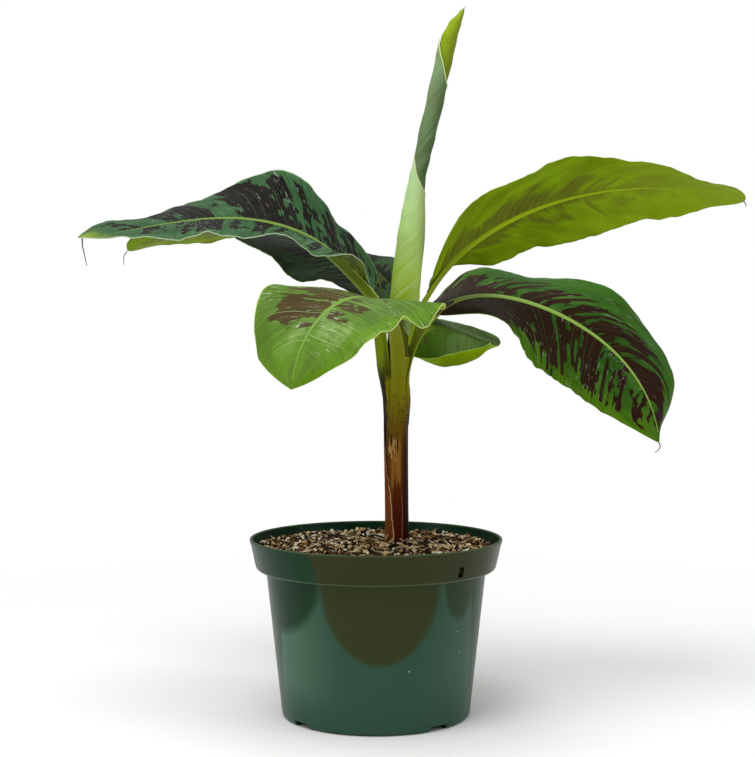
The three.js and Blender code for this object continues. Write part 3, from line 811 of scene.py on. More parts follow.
# %% Stem colours
def stem_colours(root):
    """Colour of the stem at a place, and the fine streaks that its relief follows."""
    place, (x, y, z) = object_place(root)
    turn = root.math("ARCTAN2", x - STEM["x"], STEM["y"] - y) * (180 / math.pi)
    long_streaks = cloud(point(x * 0.32, y * 0.32, z * 0.014), 1.0, 3, 0.6)
    fine_streaks = cloud(point(x * 1.1, y * 1.1, z * 0.04), 1.0, 3, 0.6)
    dots = cloud(point(x * 0.3, y * 0.3, z * 0.1), 1.0, 3, 0.6)
    height = z + (long_streaks - 0.5) * 56
    colour = colour_ramp(
        (height - 171) / 200, (0.0, (78, 24, 6)), (0.22, (88, 30, 6)), (0.34, (102, 54, 6)),
        (0.48, (106, 70, 4)), (0.62, (104, 84, 3)), (0.76, (122, 118, 4)), (1.0, (122, 128, 10)))
    amber = (1 - step(turn, -34, -14)) * (1 - step(z, 222, 250))
    colour = blend(amber * 0.8, colour, srgb(128, 70, 10))
    wine = step(turn, 12, 40) * (1 - step(height, 262, 318))
    colour = blend(wine * 0.92, colour, srgb(38, 7, 3))
    colour = blend(step(abs(turn), 40, 74) * window(height, 238, 318, 12) * 0.75, colour, srgb(58, 32, 18))
    colour = blend(window(turn, -34, 17, 5) * window(height, 232, 268, 4) * 0.85, colour, srgb(152, 104, 36))
    tears = cloud(point(x * 0.55, y * 0.55, z * 0.07), 1.0, 2, 0.6)
    torn = window(turn + (long_streaks - 0.5) * 40, -54, 2, 5) * window(z + tears * 40, 276, 300, 3)
    colour = blend(torn * step(tears, 0.52, 0.56) * 0.7, colour, srgb(190, 152, 96))
    colour = blend(torn * (1 - step(tears, 0.46, 0.48)) * 0.9, colour, srgb(24, 12, 8))
    line = abs(turn - 22 + (long_streaks - 0.5) * 26)
    colour = blend((1 - step(line, 1.0, 4.0)) * window(z, 176, 222, 8) * 0.6, colour, srgb(176, 110, 84))
    colour = blend(step(fine_streaks, 0.52, 0.7) * 0.4, colour, srgb(44, 20, 8))
    belts = window(z, 292, 321, 7) + window(z, 336, 344, 2) * step(turn, 8, 16)
    belts += window(z, 224, 262, 10) * 0.6
    flecks = step(cloud(place, 0.55, 1.5, 0.5), 0.61, 0.65) * belts
    colour = blend(flecks * 0.9, colour, srgb(20, 14, 6))
    dried = window(turn + dots * 40, -118, -32, 6) * window(z + dots * 20, 296, 362, 6)
    colour = blend(dried * 0.92, colour, srgb(20, 12, 12))
    # Painted shade: a dark maroon strip at the front left near the top, where the gap between the stalks'
    # feet lies in shade.
    groove = window(turn, -56, -27, 5) * window(z, 338, 380, 5)
    return blend(groove * 0.9, colour, srgb(34, 8, 12)), fine_streaks


def paint_stem(root):
    colour, streaks = stem_colours(root)
    return {"Base Color": colour, "Roughness": 0.36 + streaks * 0.2, "Normal": bump(streaks, 0.5, 0.5)}


stem_finish = make_finish("stem_sheaths", {"Specular IOR Level": 0.06}, paint_stem)
stem_skin = skin(150, 96, stem_place, closed=True)
add_piece(stem_skin, "stem", [stem_finish], ["pseudostem"], sharp=60)

# %% [markdown]
# Between the leaf stalks, above the stem's top, the innermost sheaths fill the crown. They are nearly
# black on the left and olive on the right. Only slivers of them show, so one short tapered tube does.

# %% Inner sheaths
HEART = {"low": 352, "high": 402, "x": 22, "lean": 3, "low_radius": 12.4, "taper": 2.6}


def heart_place(s, a):
    """Tube that leans a little to the right, drawn in at both ends."""
    z, angle = HEART["low"] + (HEART["high"] - HEART["low"]) * s, math.tau * a
    radius = (HEART["low_radius"] - HEART["taper"] * s) * (1 if 0 < s < 1 else 0.3)
    x = HEART["x"] + HEART["lean"] * s
    return Vector((x + radius * math.cos(angle), STEM["y"] + radius * math.sin(angle), z))


def paint_heart(root):
    _, (x, y, z) = object_place(root)
    fibres = cloud(point(x * 0.8, y * 0.8, z * 0.05), 1.0, 2, 0.6)
    colour = blend(step(x, 19, 25), srgb(34, 8, 12), srgb(72, 78, 10))
    colour = blend(step(fibres, 0.5, 0.66) * 0.6, colour, srgb(20, 12, 6))
    return {"Base Color": colour, "Normal": bump(fibres, 0.4)}


heart_finish = make_finish("inner_sheaths", {"Roughness": 0.5, "Specular IOR Level": 0.06}, paint_heart)
add_piece(skin(40, 48, heart_place, closed=True), "inner_sheaths", [heart_finish], sharp=60)

# %% [markdown]
# One dry sheath still hugs the left and back of the stem. It is paper thin. Its free edge runs up the
# front in rags, and at the left it ends in a black withered tongue. It is a bent sheet that lies on the
# stem's skin: each column of its grid ends at its own height, and noise tears those ends.

# %% Dry sheath
DRY = {"low": 171.5, "from": 112, "to": 240, "thick": 0.6, "off": 0.75}
DRY_TOPS = [
    # angle on the stem in degrees, height of the torn end
    (112, 236), (150, 262), (172, 300), (184, 321), (196, 316), (208, 268), (222, 238), (240, 228),
]


def dry_place(s, a):
    """Grid point: s goes up to the torn top, a goes round from the back to the free edge in front."""
    degrees = DRY["from"] + (DRY["to"] - DRY["from"]) * a
    torn = 5 * noise.noise(Vector((a * 9, 2.2, 0))) + 4 * noise.noise(Vector((a * 34, 6.2, 0)))
    top = min(321, ramp(DRY_TOPS, degrees) + torn)
    z = DRY["low"] + (top - DRY["low"]) * s
    rag = 2.6 * noise.noise(Vector((z * 0.16, 3.3, 0))) + 1.8 * noise.noise(Vector((z * 0.5, 9.1, 0)))
    degrees += (15 * (1 - smooth(172, 236, z)) + rag * 2.2) * smooth(0.6, 1, a)
    curled = 0.5 * smooth(0.93, 1, a) + 0.4 * smooth(0.92, 1, s)
    return on_stem(z, degrees, DRY["off"] + curled)


def paint_dry(root):
    _, (x, y, z) = object_place(root)
    along, around = grid_place(root)
    fibres = cloud(point(x * 1.4, y * 1.4, z * 0.04), 1.0, 3, 0.65)
    colour = blend(step(fibres, 0.42, 0.66), srgb(134, 72, 16), srgb(92, 44, 12))
    colour = blend(1 - step(around, 0.3, 0.62), colour, srgb(74, 46, 26))
    colour = blend(step(z + fibres * 24, 262, 284), colour, srgb(20, 12, 11))
    colour = blend(step(around, 0.955, 0.975) * step(fibres, 0.36, 0.5), colour, srgb(214, 176, 128))
    colour = blend(step(along, 0.985, 0.997) * (1 - step(z, 250, 280)), colour, srgb(196, 160, 110))
    return {"Base Color": colour, "Normal": bump(fibres, 0.5)}


dry_finish = make_finish("dry_sheath", {"Roughness": 0.7, "Specular IOR Level": 0.12}, paint_dry)
dry_skin = skin(90, 72, dry_place)
dry = add_piece(dry_skin, "dry_sheath_wrap", [dry_finish], ["dry_sheath"], sharp=180)
thicken(dry, DRY["thick"])

# %% [markdown]
# ## The leaves: one recipe, six sets of numbers
#
# A banana leaf hangs from a channelled stalk that runs on as the midrib. The numbers say how the midrib
# climbs and turns, how far the blade tilts about it, and how each half lifts, curls and ripples on its way
# to the margin. The CAD part uses the same numbers, so the fine leaf lies inside the plain one.
#
# Tracing each leaf's outline by hand would only hold for one view. A midrib that is walked through space,
# with ribs laid across it, gives a leaf that looks right from the side, the back and above too.
#
# Pairs are for the left and the right half. Each ripple is a height, a number of waves and a start. A tuck
# lifts the margin: a place, a spread and a height. A bow pushes the midrib aside: a place, a spread and the
# push. Sweep leans the side veins towards the tip, slim keeps a half narrow up to that share of the blade,
# ragged is the unevenness of the margin, and deep is the stalk's depth against its half width. What most
# leaves share stands in one row, and a leaf says only what differs.

# %% Leaf numbers, in millimetres and degrees
COMMON_LEAF = {"tucks": ((), ()), "slim": (0, 0), "ragged": 1.7, "deep": 0.72, "bow": None}
LEAVES = {
    "leaf_front": {
        "seat": (22, 9, 325), "petiole": 86, "blade": 242, "stalk": 8,
        "climb": (82, 16, -26, -57), "heading": (-84, -119, -138, -97), "roll": (-5, -17, -2, -5),
        "width": (78, 70), "broad": 0.31, "tip_power": 2.88, "tip_round": 0.88, "base_round": 0.41,
        "lift": ((14, 10, 2, -1, 0), (16, 8, -1)),
        "curl": ((-14, -16, -22, -20, -12), (-13, -11, -11)),
        "ripple": (((8.7, 1.53, 0.11), (3.9, 4.31, 0.23)), ((10.5, 1.81, -0.75), (2.0, 3.23, 0.3))),
        "tucks": (((0.55, 0.058, 14), (0.71, 0.03, -3)), ()), "sweep": (0.12, 0.14),
    },
    "leaf_right": {
        "seat": (27, 12, 325), "petiole": 94, "blade": 349, "stalk": 7.4,
        "climb": (92, -29, -13, -84), "heading": (38, 72, -21, -42), "roll": (-2, 26, 112, 0),
        "width": (73, 68), "broad": 0.48, "tip_power": 3.28, "tip_round": 0.8, "base_round": 0.55,
        "lift": ((6, 11, -18), (-3, 1, -5)),
        "curl": ((-34, -14, -43), (-31, -29, -27)),
        "ripple": (((9.0, 3.42, -0.69),), ((5.6, 1.65, 0.1),)),
        "sweep": (0.3, 0.14), "ragged": 2.2,
    },
    "leaf_upper_left": {
        "seat": (13, 14, 328), "petiole": 102, "blade": 312, "stalk": 8.8,
        "climb": (92, 53, -36, -5), "heading": (196, 221, 174, 220), "roll": (-12, -40, -17, -15),
        "width": (62, 78), "broad": 0.37, "tip_power": 3.01, "tip_round": 0.57, "base_round": 0.47,
        "lift": ((22, 11, 10, 9, 9), (31, 5, -4)),
        "curl": ((2, -13, -11, -7, 1), (17, -17, -25)),
        "ripple": (((4.5, 3.98, -0.31), (3.2, 2.59, 0.04)), ((11.6, 1.86, 0.59), (3.7, 3.4, 1.09))),
        "tucks": (((0.86, 0.05, -4.5),), ()), "sweep": (0.08, 0.08), "slim": (0.14, 0),
        "ragged": 3.2, "deep": 1.4, "bow": (0.22, 0.07, (9, 0, 0)),
    },
    "leaf_upper_right": {
        "seat": (25, 14, 330), "petiole": 100, "blade": 374, "stalk": 7.6,
        "climb": (92, 25, 9, -14), "heading": (26, 5, -4, 21), "roll": (-9, -54, -23, -17),
        "width": (67, 65), "broad": 0.31, "tip_power": 2.66, "tip_round": 0.62, "base_round": 0.4,
        "lift": ((17, -8, 3), (25, -2, 2)),
        "curl": ((3, -34, -15), (7, -28, -17)),
        "ripple": (((-4.4, 3.76, -0.78), (3.3, 4.46, -0.19)), ((5.7, 1.74, 1.33), (2.7, 4.22, 0.24))),
        "sweep": (0.16, 0.16), "slim": (0.08, 0.2), "ragged": 2.0,
    },
    "leaf_back_left": {
        "seat": (16, 20, 328), "petiole": 108, "blade": 381, "stalk": 7.6,
        "climb": (82, -9, 31, -25), "heading": (74, 111, 187, 182), "roll": (-9, -6, 10, 26),
        "width": (67, 60), "broad": 0.41, "tip_power": 2.94, "tip_round": 0.5, "base_round": 0.68,
        "lift": ((0, -12, -3), (5, 5, 10, 17, 14)),
        "curl": ((-33, -31, 1), (-18, -12, 5)),
        "ripple": (((5.7, 1.93, 0.04), (3.6, 3.68, 0.6)), ((6.4, 2.27, -0.06),)),
        "sweep": (0.12, 0.12),
    },
    "leaf_back_right": {
        "seat": (26, 21, 328), "petiole": 35, "blade": 131, "stalk": 6.4,
        "climb": (92, 57, -63, -7), "heading": (43, 43, 64, -19), "roll": (85, 56, 18, -31),
        "width": (62, 84), "broad": 0.45, "tip_power": 3.36, "tip_round": 0.56, "base_round": 0.74,
        "lift": ((-23, -15, 29), (-124, -123, -118, -64, -48)),
        "curl": ((-20, -30, 31), (166, 283, 264, 128, 40)),
        "ripple": (((2.7, 1.71, -0.29),), ((2.9, 1.14, 0.21),)),
        "sweep": (0.1, 0.1),
    },
}
LEAVES = {name: COMMON_LEAF | leaf for name, leaf in LEAVES.items()}
WALK_STEPS = 240
print(len(LEAVES), "leaves, the longest", max(leaf["blade"] for leaf in LEAVES.values()), "mm")


# %% Walk along a midrib
def midrib(leaf):
    """at(s), from 0 at the stalk's foot to 1 at the tip: place, and the ways along, to the left and up."""
    length = leaf["petiole"] + leaf["blade"]

    def directions(s):
        e, h = math.radians(bezier(leaf["climb"], s)), math.radians(bezier(leaf["heading"], s))
        along = Vector((math.cos(e) * math.cos(h), math.cos(e) * math.sin(h), math.sin(e)))
        side = Vector((-math.sin(h), math.cos(h), 0))
        return along, side, along.cross(side)

    place, last = Vector(leaf["seat"]), directions(0)
    stations = [(place.copy(), *last)]
    for i in range(1, WALK_STEPS + 1):
        turned = directions(i / WALK_STEPS)
        place += (last[0] + turned[0]) * (0.5 * length / WALK_STEPS)
        stations.append((place.copy(), *turned))
        last = turned
    if leaf["bow"]:
        where, spread, push = leaf["bow"]
        shares = [math.exp(-((i / WALK_STEPS - where) / spread) ** 2) for i in range(WALK_STEPS + 1)]
        stations = [(spot + Vector(push) * share, *ways) for (spot, *ways), share in zip(stations, shares)]

    def at(s):
        x = min(max(s, 0.0), 1.0) * WALK_STEPS
        i = min(int(x), WALK_STEPS - 1)
        return [a.lerp(b, x - i) for a, b in zip(stations[i], stations[i + 1])]

    return at


def blade_start(leaf):
    return leaf["petiole"] / (leaf["petiole"] + leaf["blade"])


def tilted(leaf, side, up, u):
    """The ways to the left and up, after the blade's own tilt about the midrib."""
    roll = math.radians(bezier(leaf["roll"], u))
    return side * math.cos(roll) + up * math.sin(roll), up * math.cos(roll) - side * math.sin(roll)


# %% [markdown]
# The blade is a flat grid that is bent over those ribs. Its half width swells fast from the base and draws
# in to the tip. Three small things make it a living leaf: the margin wanders a little, it has slow ripples,
# and the blade is softly pleated along its side veins. They fade to nothing at the midrib.

# %% Bend a blade
BLADE = {"along": 180, "across": 40, "thick": 0.8, "pleat": 0.35, "pleats_every": 9.5}


def width_share(leaf, u):
    """Share of the full half width at u along the blade."""
    if u < leaf["broad"]:
        return max(0.0, 1 - (1 - u / leaf["broad"]) ** 2) ** leaf["base_round"]
    past = (u - leaf["broad"]) / (1 - leaf["broad"])
    return max(0.0, 1 - past ** leaf["tip_power"]) ** leaf["tip_round"]


def half_width(leaf, half, u, seed):
    """Width of one half at u, with a wandering margin. At the tip a little is left, to close it."""
    wander = 1 + 0.015 * noise.noise(Vector((u * 11, seed, 0)))
    wander += 0.012 * noise.noise(Vector((u * 34, seed, 4)))
    slim = smooth(0, leaf["slim"][half], u) ** 0.6 if leaf["slim"][half] else 1
    return max(leaf["width"][half] * width_share(leaf, u) * wander * slim, 0.8 + 1.4 * (1 - u))


def relief(leaf, half, u, t, seed):
    """Ripples, pleats and ragged margin of one half, fading at both ends of the blade."""
    waves = sum(
        size * math.sin(math.tau * (count * u + phase)) for size, count, phase in leaf["ripple"][half])
    line = (u - leaf["sweep"][half] * t ** 1.5) * leaf["blade"] / BLADE["pleats_every"]
    line += noise.noise(Vector((u * 9, t, seed))) * 0.8
    pleat = BLADE["pleat"] * math.sin(math.tau * line) * t * (1.2 - t) * 2
    edge = leaf["ragged"] * noise.noise(Vector((u * leaf["blade"] / 15, seed, 9))) * t ** 5
    return (waves * t * t + pleat + edge) * min(1, 6 * u * (1 - u))


def blade_place(leaf, at, u, v):
    """Point of the blade at u from base to tip, and v from -1 at the right margin to 1 at the left one."""
    start = blade_start(leaf)
    place, _, side, up = at(start + (1 - start) * u)
    left, up = tilted(leaf, side, up, u)
    half, sign = (0, 1) if v >= 0 else (1, -1)
    t, seed = abs(v), sum(leaf["seat"]) + half * 5
    width = half_width(leaf, half, u, seed)
    # the half is bent like a bow: it leaves the midrib at one angle and curls by another on its way out
    lift, curl = (math.radians(bezier(leaf[key][half], u)) for key in ("lift", "curl"))
    curl = curl if abs(curl) > 1e-4 else 1e-4
    turned = lift + curl * t
    out, high = (math.sin(turned) - math.sin(lift)) / curl, (math.cos(lift) - math.cos(turned)) / curl
    height = width * high + relief(leaf, half, u, t, seed)
    tuck = sum(rise * math.exp(-((u - at_u) / spread) ** 2) for at_u, spread, rise in leaf["tucks"][half])
    return place + left * (sign * width * out) + up * height + Vector((0, 0, tuck * t ** 3))


# %% [markdown]
# The stalk is a thick band with a groove along its top, deep near the stem and shallow on the blade, where
# it is the pale line down the middle. Underneath it is round. Its section is one closed loop: a half ellipse
# below, and above a smaller curve that dips in.
#
# At its foot the stalk widens and lies down on the stem as a sheath. There the same loop is wrapped on the
# stem's skin, and over a few centimetres the wrapped loop turns into the free one.

# %% Stalk and midrib
STALK = {
    # width where the blade begins, as a share; half width at the tip; how fast it thins; where it ends
    "at_blade": 0.86, "tip": 0.75, "thin": 1.75, "end": 0.975,
    # steps of its grid
    "along": 168, "around": 32,
}
FEET = {
    # length of the foot below the seat in mm, and the angle on the stem that it wraps in degrees
    "leaf_front": (66, -84), "leaf_upper_left": (50, 190), "leaf_right": (42, -12),
    "leaf_upper_right": (30, 24), "leaf_back_left": (45, 140), "leaf_back_right": (40, 74),
}


def stalk_half(leaf, s):
    """Half width of the stalk at s, and u along the blade, which is 0 on the stalk."""
    start = blade_start(leaf)
    u = max(0.0, (s - start) / (1 - start))
    at_blade = leaf["stalk"] * STALK["at_blade"]
    if u > 0:
        return STALK["tip"] + (at_blade - STALK["tip"]) * (1 - u) ** STALK["thin"], u
    return leaf["stalk"] + (at_blade - leaf["stalk"]) * max(0.0, s) / start, u


def stalk_section(half, deep, sunk, a):
    """Section point (x, z): a from 0 to 0.5 goes under it from left to right, and back over the groove."""
    if a <= 0.5:
        angle = math.pi * a * 2
        return half * math.cos(angle), -deep * math.sin(angle) * (1 + 0.15 * sunk)
    w = 1 - (a - 0.5) * 4
    groove = deep * (0.75 - 0.6 * sunk)
    return -half * w, 0.54 * (1 - w * w) ** 0.5 - groove * (1 - abs(w) ** 2.2)


def stalk_place(name, leaf, at, s, a):
    """Point of the stalk's skin. s = 0 is the lower end of the foot, and s = 1 is near the blade's tip."""
    foot, wraps = FEET[name]
    length = leaf["petiole"] + leaf["blade"]
    run = -foot + (foot + length * STALK["end"]) * s
    half, u = stalk_half(leaf, run / length)
    place, along, side, up = at(run / length)
    place = place + along * min(0.0, run)
    low = smooth(0, 1, -run / foot)
    half *= 1 + 0.5 * low
    sunk = min(1, u * 8)
    deep = half * leaf["deep"]
    x, z = stalk_section(half, deep, sunk, a)
    left, up = tilted(leaf, side, up, u)
    free = place + left * x + up * (z + deep * 0.28 * sunk * (1 - u) + 0.45 * sunk)
    wrapped = 1 - smooth(-14, 26, run)
    if wrapped == 0:
        return free
    degrees = wraps + math.degrees(x / STEM["mid_radius"])
    bulge = (1.7 * (1 - low) + 0.5) * min(1, -z / deep) if z < 0 and a <= 0.5 else -1.5
    return free.lerp(on_stem(place.z, degrees, bulge - 1.0 * smooth(0.9, 1, low)), wrapped)


# %% [markdown]
# ## Leaf finishes
#
# On this plant the upper side is green with wine-dark blotches. The blotches follow the side veins: along a
# vein they run on, across it they stop dead, so their ends look torn. Three noises give that when they are
# sampled in the leaf's own space, where one axis counts millimetres across the veins and the other runs out
# to the margin: one for the patches, one for the islands in them, and one for the torn ends. A fourth
# number is drawn for each lane between two veins, and shifts the patch in that lane in or out.
#
# The underside is paler and yellower, and the blotches only shimmer through it. The cut edge of the blade is
# a thin pale line. So a leaf has three finishes, and the Solidify modifier gives the second one to the
# underside and the third to the edge.

# %% Vein space
def by_half(left, pair):
    """The first number on the left half of the blade, and the second on the right."""
    return left * pair[0] + (1 - left) * pair[1]


def vein_space(root, leaf, seed):
    """Place along, distance from the midrib, side, millimetres across the veins, and the half's shift."""
    along, across = grid_place(root)
    signed = across * 2 - 1
    t = abs(signed)
    left = root.math("GREATER_THAN", signed, 0.0)
    line = (along - t ** 1.5 * by_half(left, leaf["sweep"])) * leaf["blade"]
    return along, t, left, line, left * 7 + seed


def lanes(root, line, t, shift, width):
    """For lanes along the veins: a number for each lane, and where in the lane a point is."""
    count = line / width + cloud(point(line / 30, t * 2, shift + 6), 1.0, 1) * 1.6
    number = root.node(
        "TexWhiteNoise", {"noise_dimensions": "1D"}, {"W": root.math("FLOOR", count) + shift * 13})
    return number, root.math("FRACT", count)


def blotches(root, leaf, look, soft):
    """Mask of the blotches, and the vein space that it was drawn in."""
    along, t, left, line, shift = space = vein_space(root, leaf, look["seed"])
    jump = lanes(root, line, t, shift, look["lane"])[0]
    patches = cloud(point(line / 46, t * 1.6 + jump * 0.3, shift), 1.0, 1.5)
    islands = cloud(point(line / 11, t * 5.5, shift + 2), 1.0, 1)
    torn = cloud(point(line / 3.6, t * 2.4, shift + 4), 1.0, 2, 0.6)
    bare = step(t - by_half(left, look["reach"]), -0.25, 0.3) * 0.5
    begins, begun, share = look["start"]
    bare += (1 - step(along, begins, begun)) * share
    fades, gone, share = look["ends"]
    bare += step(along, fades, gone) * share
    shares = look["mix"]
    level = patches * shares[0] + islands * shares[1] + torn * shares[2] + jump * shares[3]
    middle = sum(shares) / 2
    return step(level - bare + by_half(left, look["cover"]), middle - soft, middle + soft), space


# %% Upper side
def tint(colour, share):
    """The colour made lighter or darker."""
    return tuple(min(1, c * share) for c in colour[:3]) + (1,)


def leaf_top(name, leaf, look):
    """Upper side: green to margin colour, blotches, pale veins, glints and a pale line along the margin."""
    def paint(root):
        mask, (along, t, left, line, shift) = blotches(root, leaf, look, look["soft"])
        streaks = cloud(point(line / 2.2, t * 1.6, shift), 1.0, 2, 0.6)
        clouds = cloud(point(line / 60, t * 2.2, shift + 9), 1.0, 2)
        green, wine = look["green"], look["wine"]
        colour = blend(step(t, 0.35, 1.0) * by_half(left, look["warm"]), green, look["margin"])
        tip_from, tip_to, tip_share, tip_colour = look["tip"]
        colour = blend(step(along, tip_from, tip_to) * tip_share, colour, tip_colour)
        colour = blend((1 - step(clouds, 0.36, 0.5)) * 0.45, colour, tint(green, 0.55))
        calm = 1 - step(along, 0.7, 0.92)
        colour = blend(step(clouds, 0.52, 0.68) * calm * look["haze"], colour, look["vein"])
        colour = blend(step(streaks, 0.46, 0.62) * (calm * 0.3 + 0.15), colour, tint(green, 0.42))
        ribs = root.math("SINE", line * (math.tau / BLADE["pleats_every"]))
        wine = blend(step(streaks, 0.42, 0.66) * 0.6, wine, tint(wine, 0.4))
        colour = blend(mask * look["wine_share"], colour, wine)
        number, inside = lanes(root, line, t, shift + 1, 9.0)
        vein = 1 - step(abs(inside - 0.5), 0.02, 0.07)
        pale = vein * step(number, 0.45, 0.6) * (1 - step(t, 0.55, 0.95)) * look["veins"]
        fine = root.math("SINE", line * 2.1 + streaks * 3)
        colour = blend((pale + step(fine, 0.7, 1.0) * 0.1) * calm, colour, look["vein"])
        # Painted highlights: sparse short pale dashes along the veins, in patches, stand for glints of light
        # on the glossy leaf.
        glint_noise = cloud(point(line / 0.9, t * 7, shift + 5), 1.0, 1)
        near = step(cloud(point(line / 40, t * 2, shift + 8), 1.0, 1), 0.46, 0.6)
        glints = step(glint_noise, 0.68, 0.74) * near * calm
        colour = blend(glints * look["glint"], colour, srgb(214, 222, 206))
        rim = step(t, 0.984, 0.992)
        return {
            "Base Color": blend(rim * 0.85, colour, look["rim"]),
            "Roughness": 0.38 + streaks * 0.16,
            "Normal": bump(streaks * 0.5 + ribs * 0.14 + clouds * 0.3, 0.4, 0.6),
        }

    return make_finish(name, {"Specular IOR Level": 0.05}, paint)


# %% Underside and edge
def leaf_under(name, leaf, look):
    """Underside: paler, with the blotches as a soft veil and the side veins as fine pleats."""
    def paint(root):
        mask, (along, t, left, line, shift) = blotches(root, leaf, look, 0.14)
        streaks = cloud(point(line / 2.6, t * 1.4, shift), 1.0, 2, 0.6)
        clouds = cloud(point(line / 34, t * 2.0, shift + 9), 1.0, 2)
        green = look["under"]
        colour = blend(step(clouds, 0.35, 0.65), tint(green, 1.22), tint(green, 0.8))
        colour = blend(step(streaks, 0.4, 0.66) * 0.3, colour, tint(green, 0.6))
        veil = mask * (0.6 + streaks * 0.5) * 0.8
        colour = blend(veil, colour, look["veil"])
        ribs = root.math("SINE", line * (math.tau / BLADE["pleats_every"]))
        colour = blend(step(ribs, 0.8, 1.0) * 0.16, colour, tint(green, 1.5))
        tip_from, tip_to, tip_share, tip_colour = look["under_tip"]
        colour = blend(step(along, tip_from, tip_to) * tip_share, colour, tip_colour)
        colour = blend(by_half(left, look["pale"]), colour, look["rim"])
        return {
            "Base Color": blend(step(t, 0.984, 0.992) * 0.6, colour, look["rim"]),
            "Roughness": 0.5 + streaks * 0.14,
            "Normal": bump(streaks + clouds * 0.4, 0.4, 0.5),
        }

    return make_finish(name, {"Specular IOR Level": 0.04}, paint)


def leaf_edge(name, look):
    """The cut edge of the blade, which has one colour all round."""
    constants = {"Base Color": look["rim"], "Roughness": 0.5, "Specular IOR Level": 0.1}
    return make_finish(name, constants)


# %% Stalk finish
def stalk_finish(name, look):
    """Stalk: the stem's colours at its foot, then its own with long darker streaks, then the midrib's."""
    def paint(root):
        foot, fine = stem_colours(root)
        _, (_, _, z) = object_place(root)
        along, around = grid_place(root)
        streaks = cloud(point(along * 3, around * 26, 0.3), 1.0, 3, 0.6)
        colour = blend(step(along, 0.3, 0.5), look["stalk"], look["rib"])
        colour = blend(step(along, 0.84, 0.98) * 0.6, colour, look["margin"])
        colour = blend(step(streaks, 0.45, 0.7) * 0.6, colour, look["shade"])
        colour = blend(step(z, 330, 372) + step(along, 0.24, 0.34), foot, colour)
        rim = 1 - step(abs(abs(around - 0.25) - 0.25), 0.008, 0.03)
        colour = blend(rim * step(z, 384, 404) * (1 - step(along, 0.38, 0.46)) * 0.7, colour, look["lip"])
        return {
            "Base Color": colour,
            "Roughness": 0.4 + streaks * 0.15,
            "Normal": bump(streaks + fine * 0.5, 0.4, 0.4),
        }

    return make_finish(name, {"Specular IOR Level": 0.07}, paint)
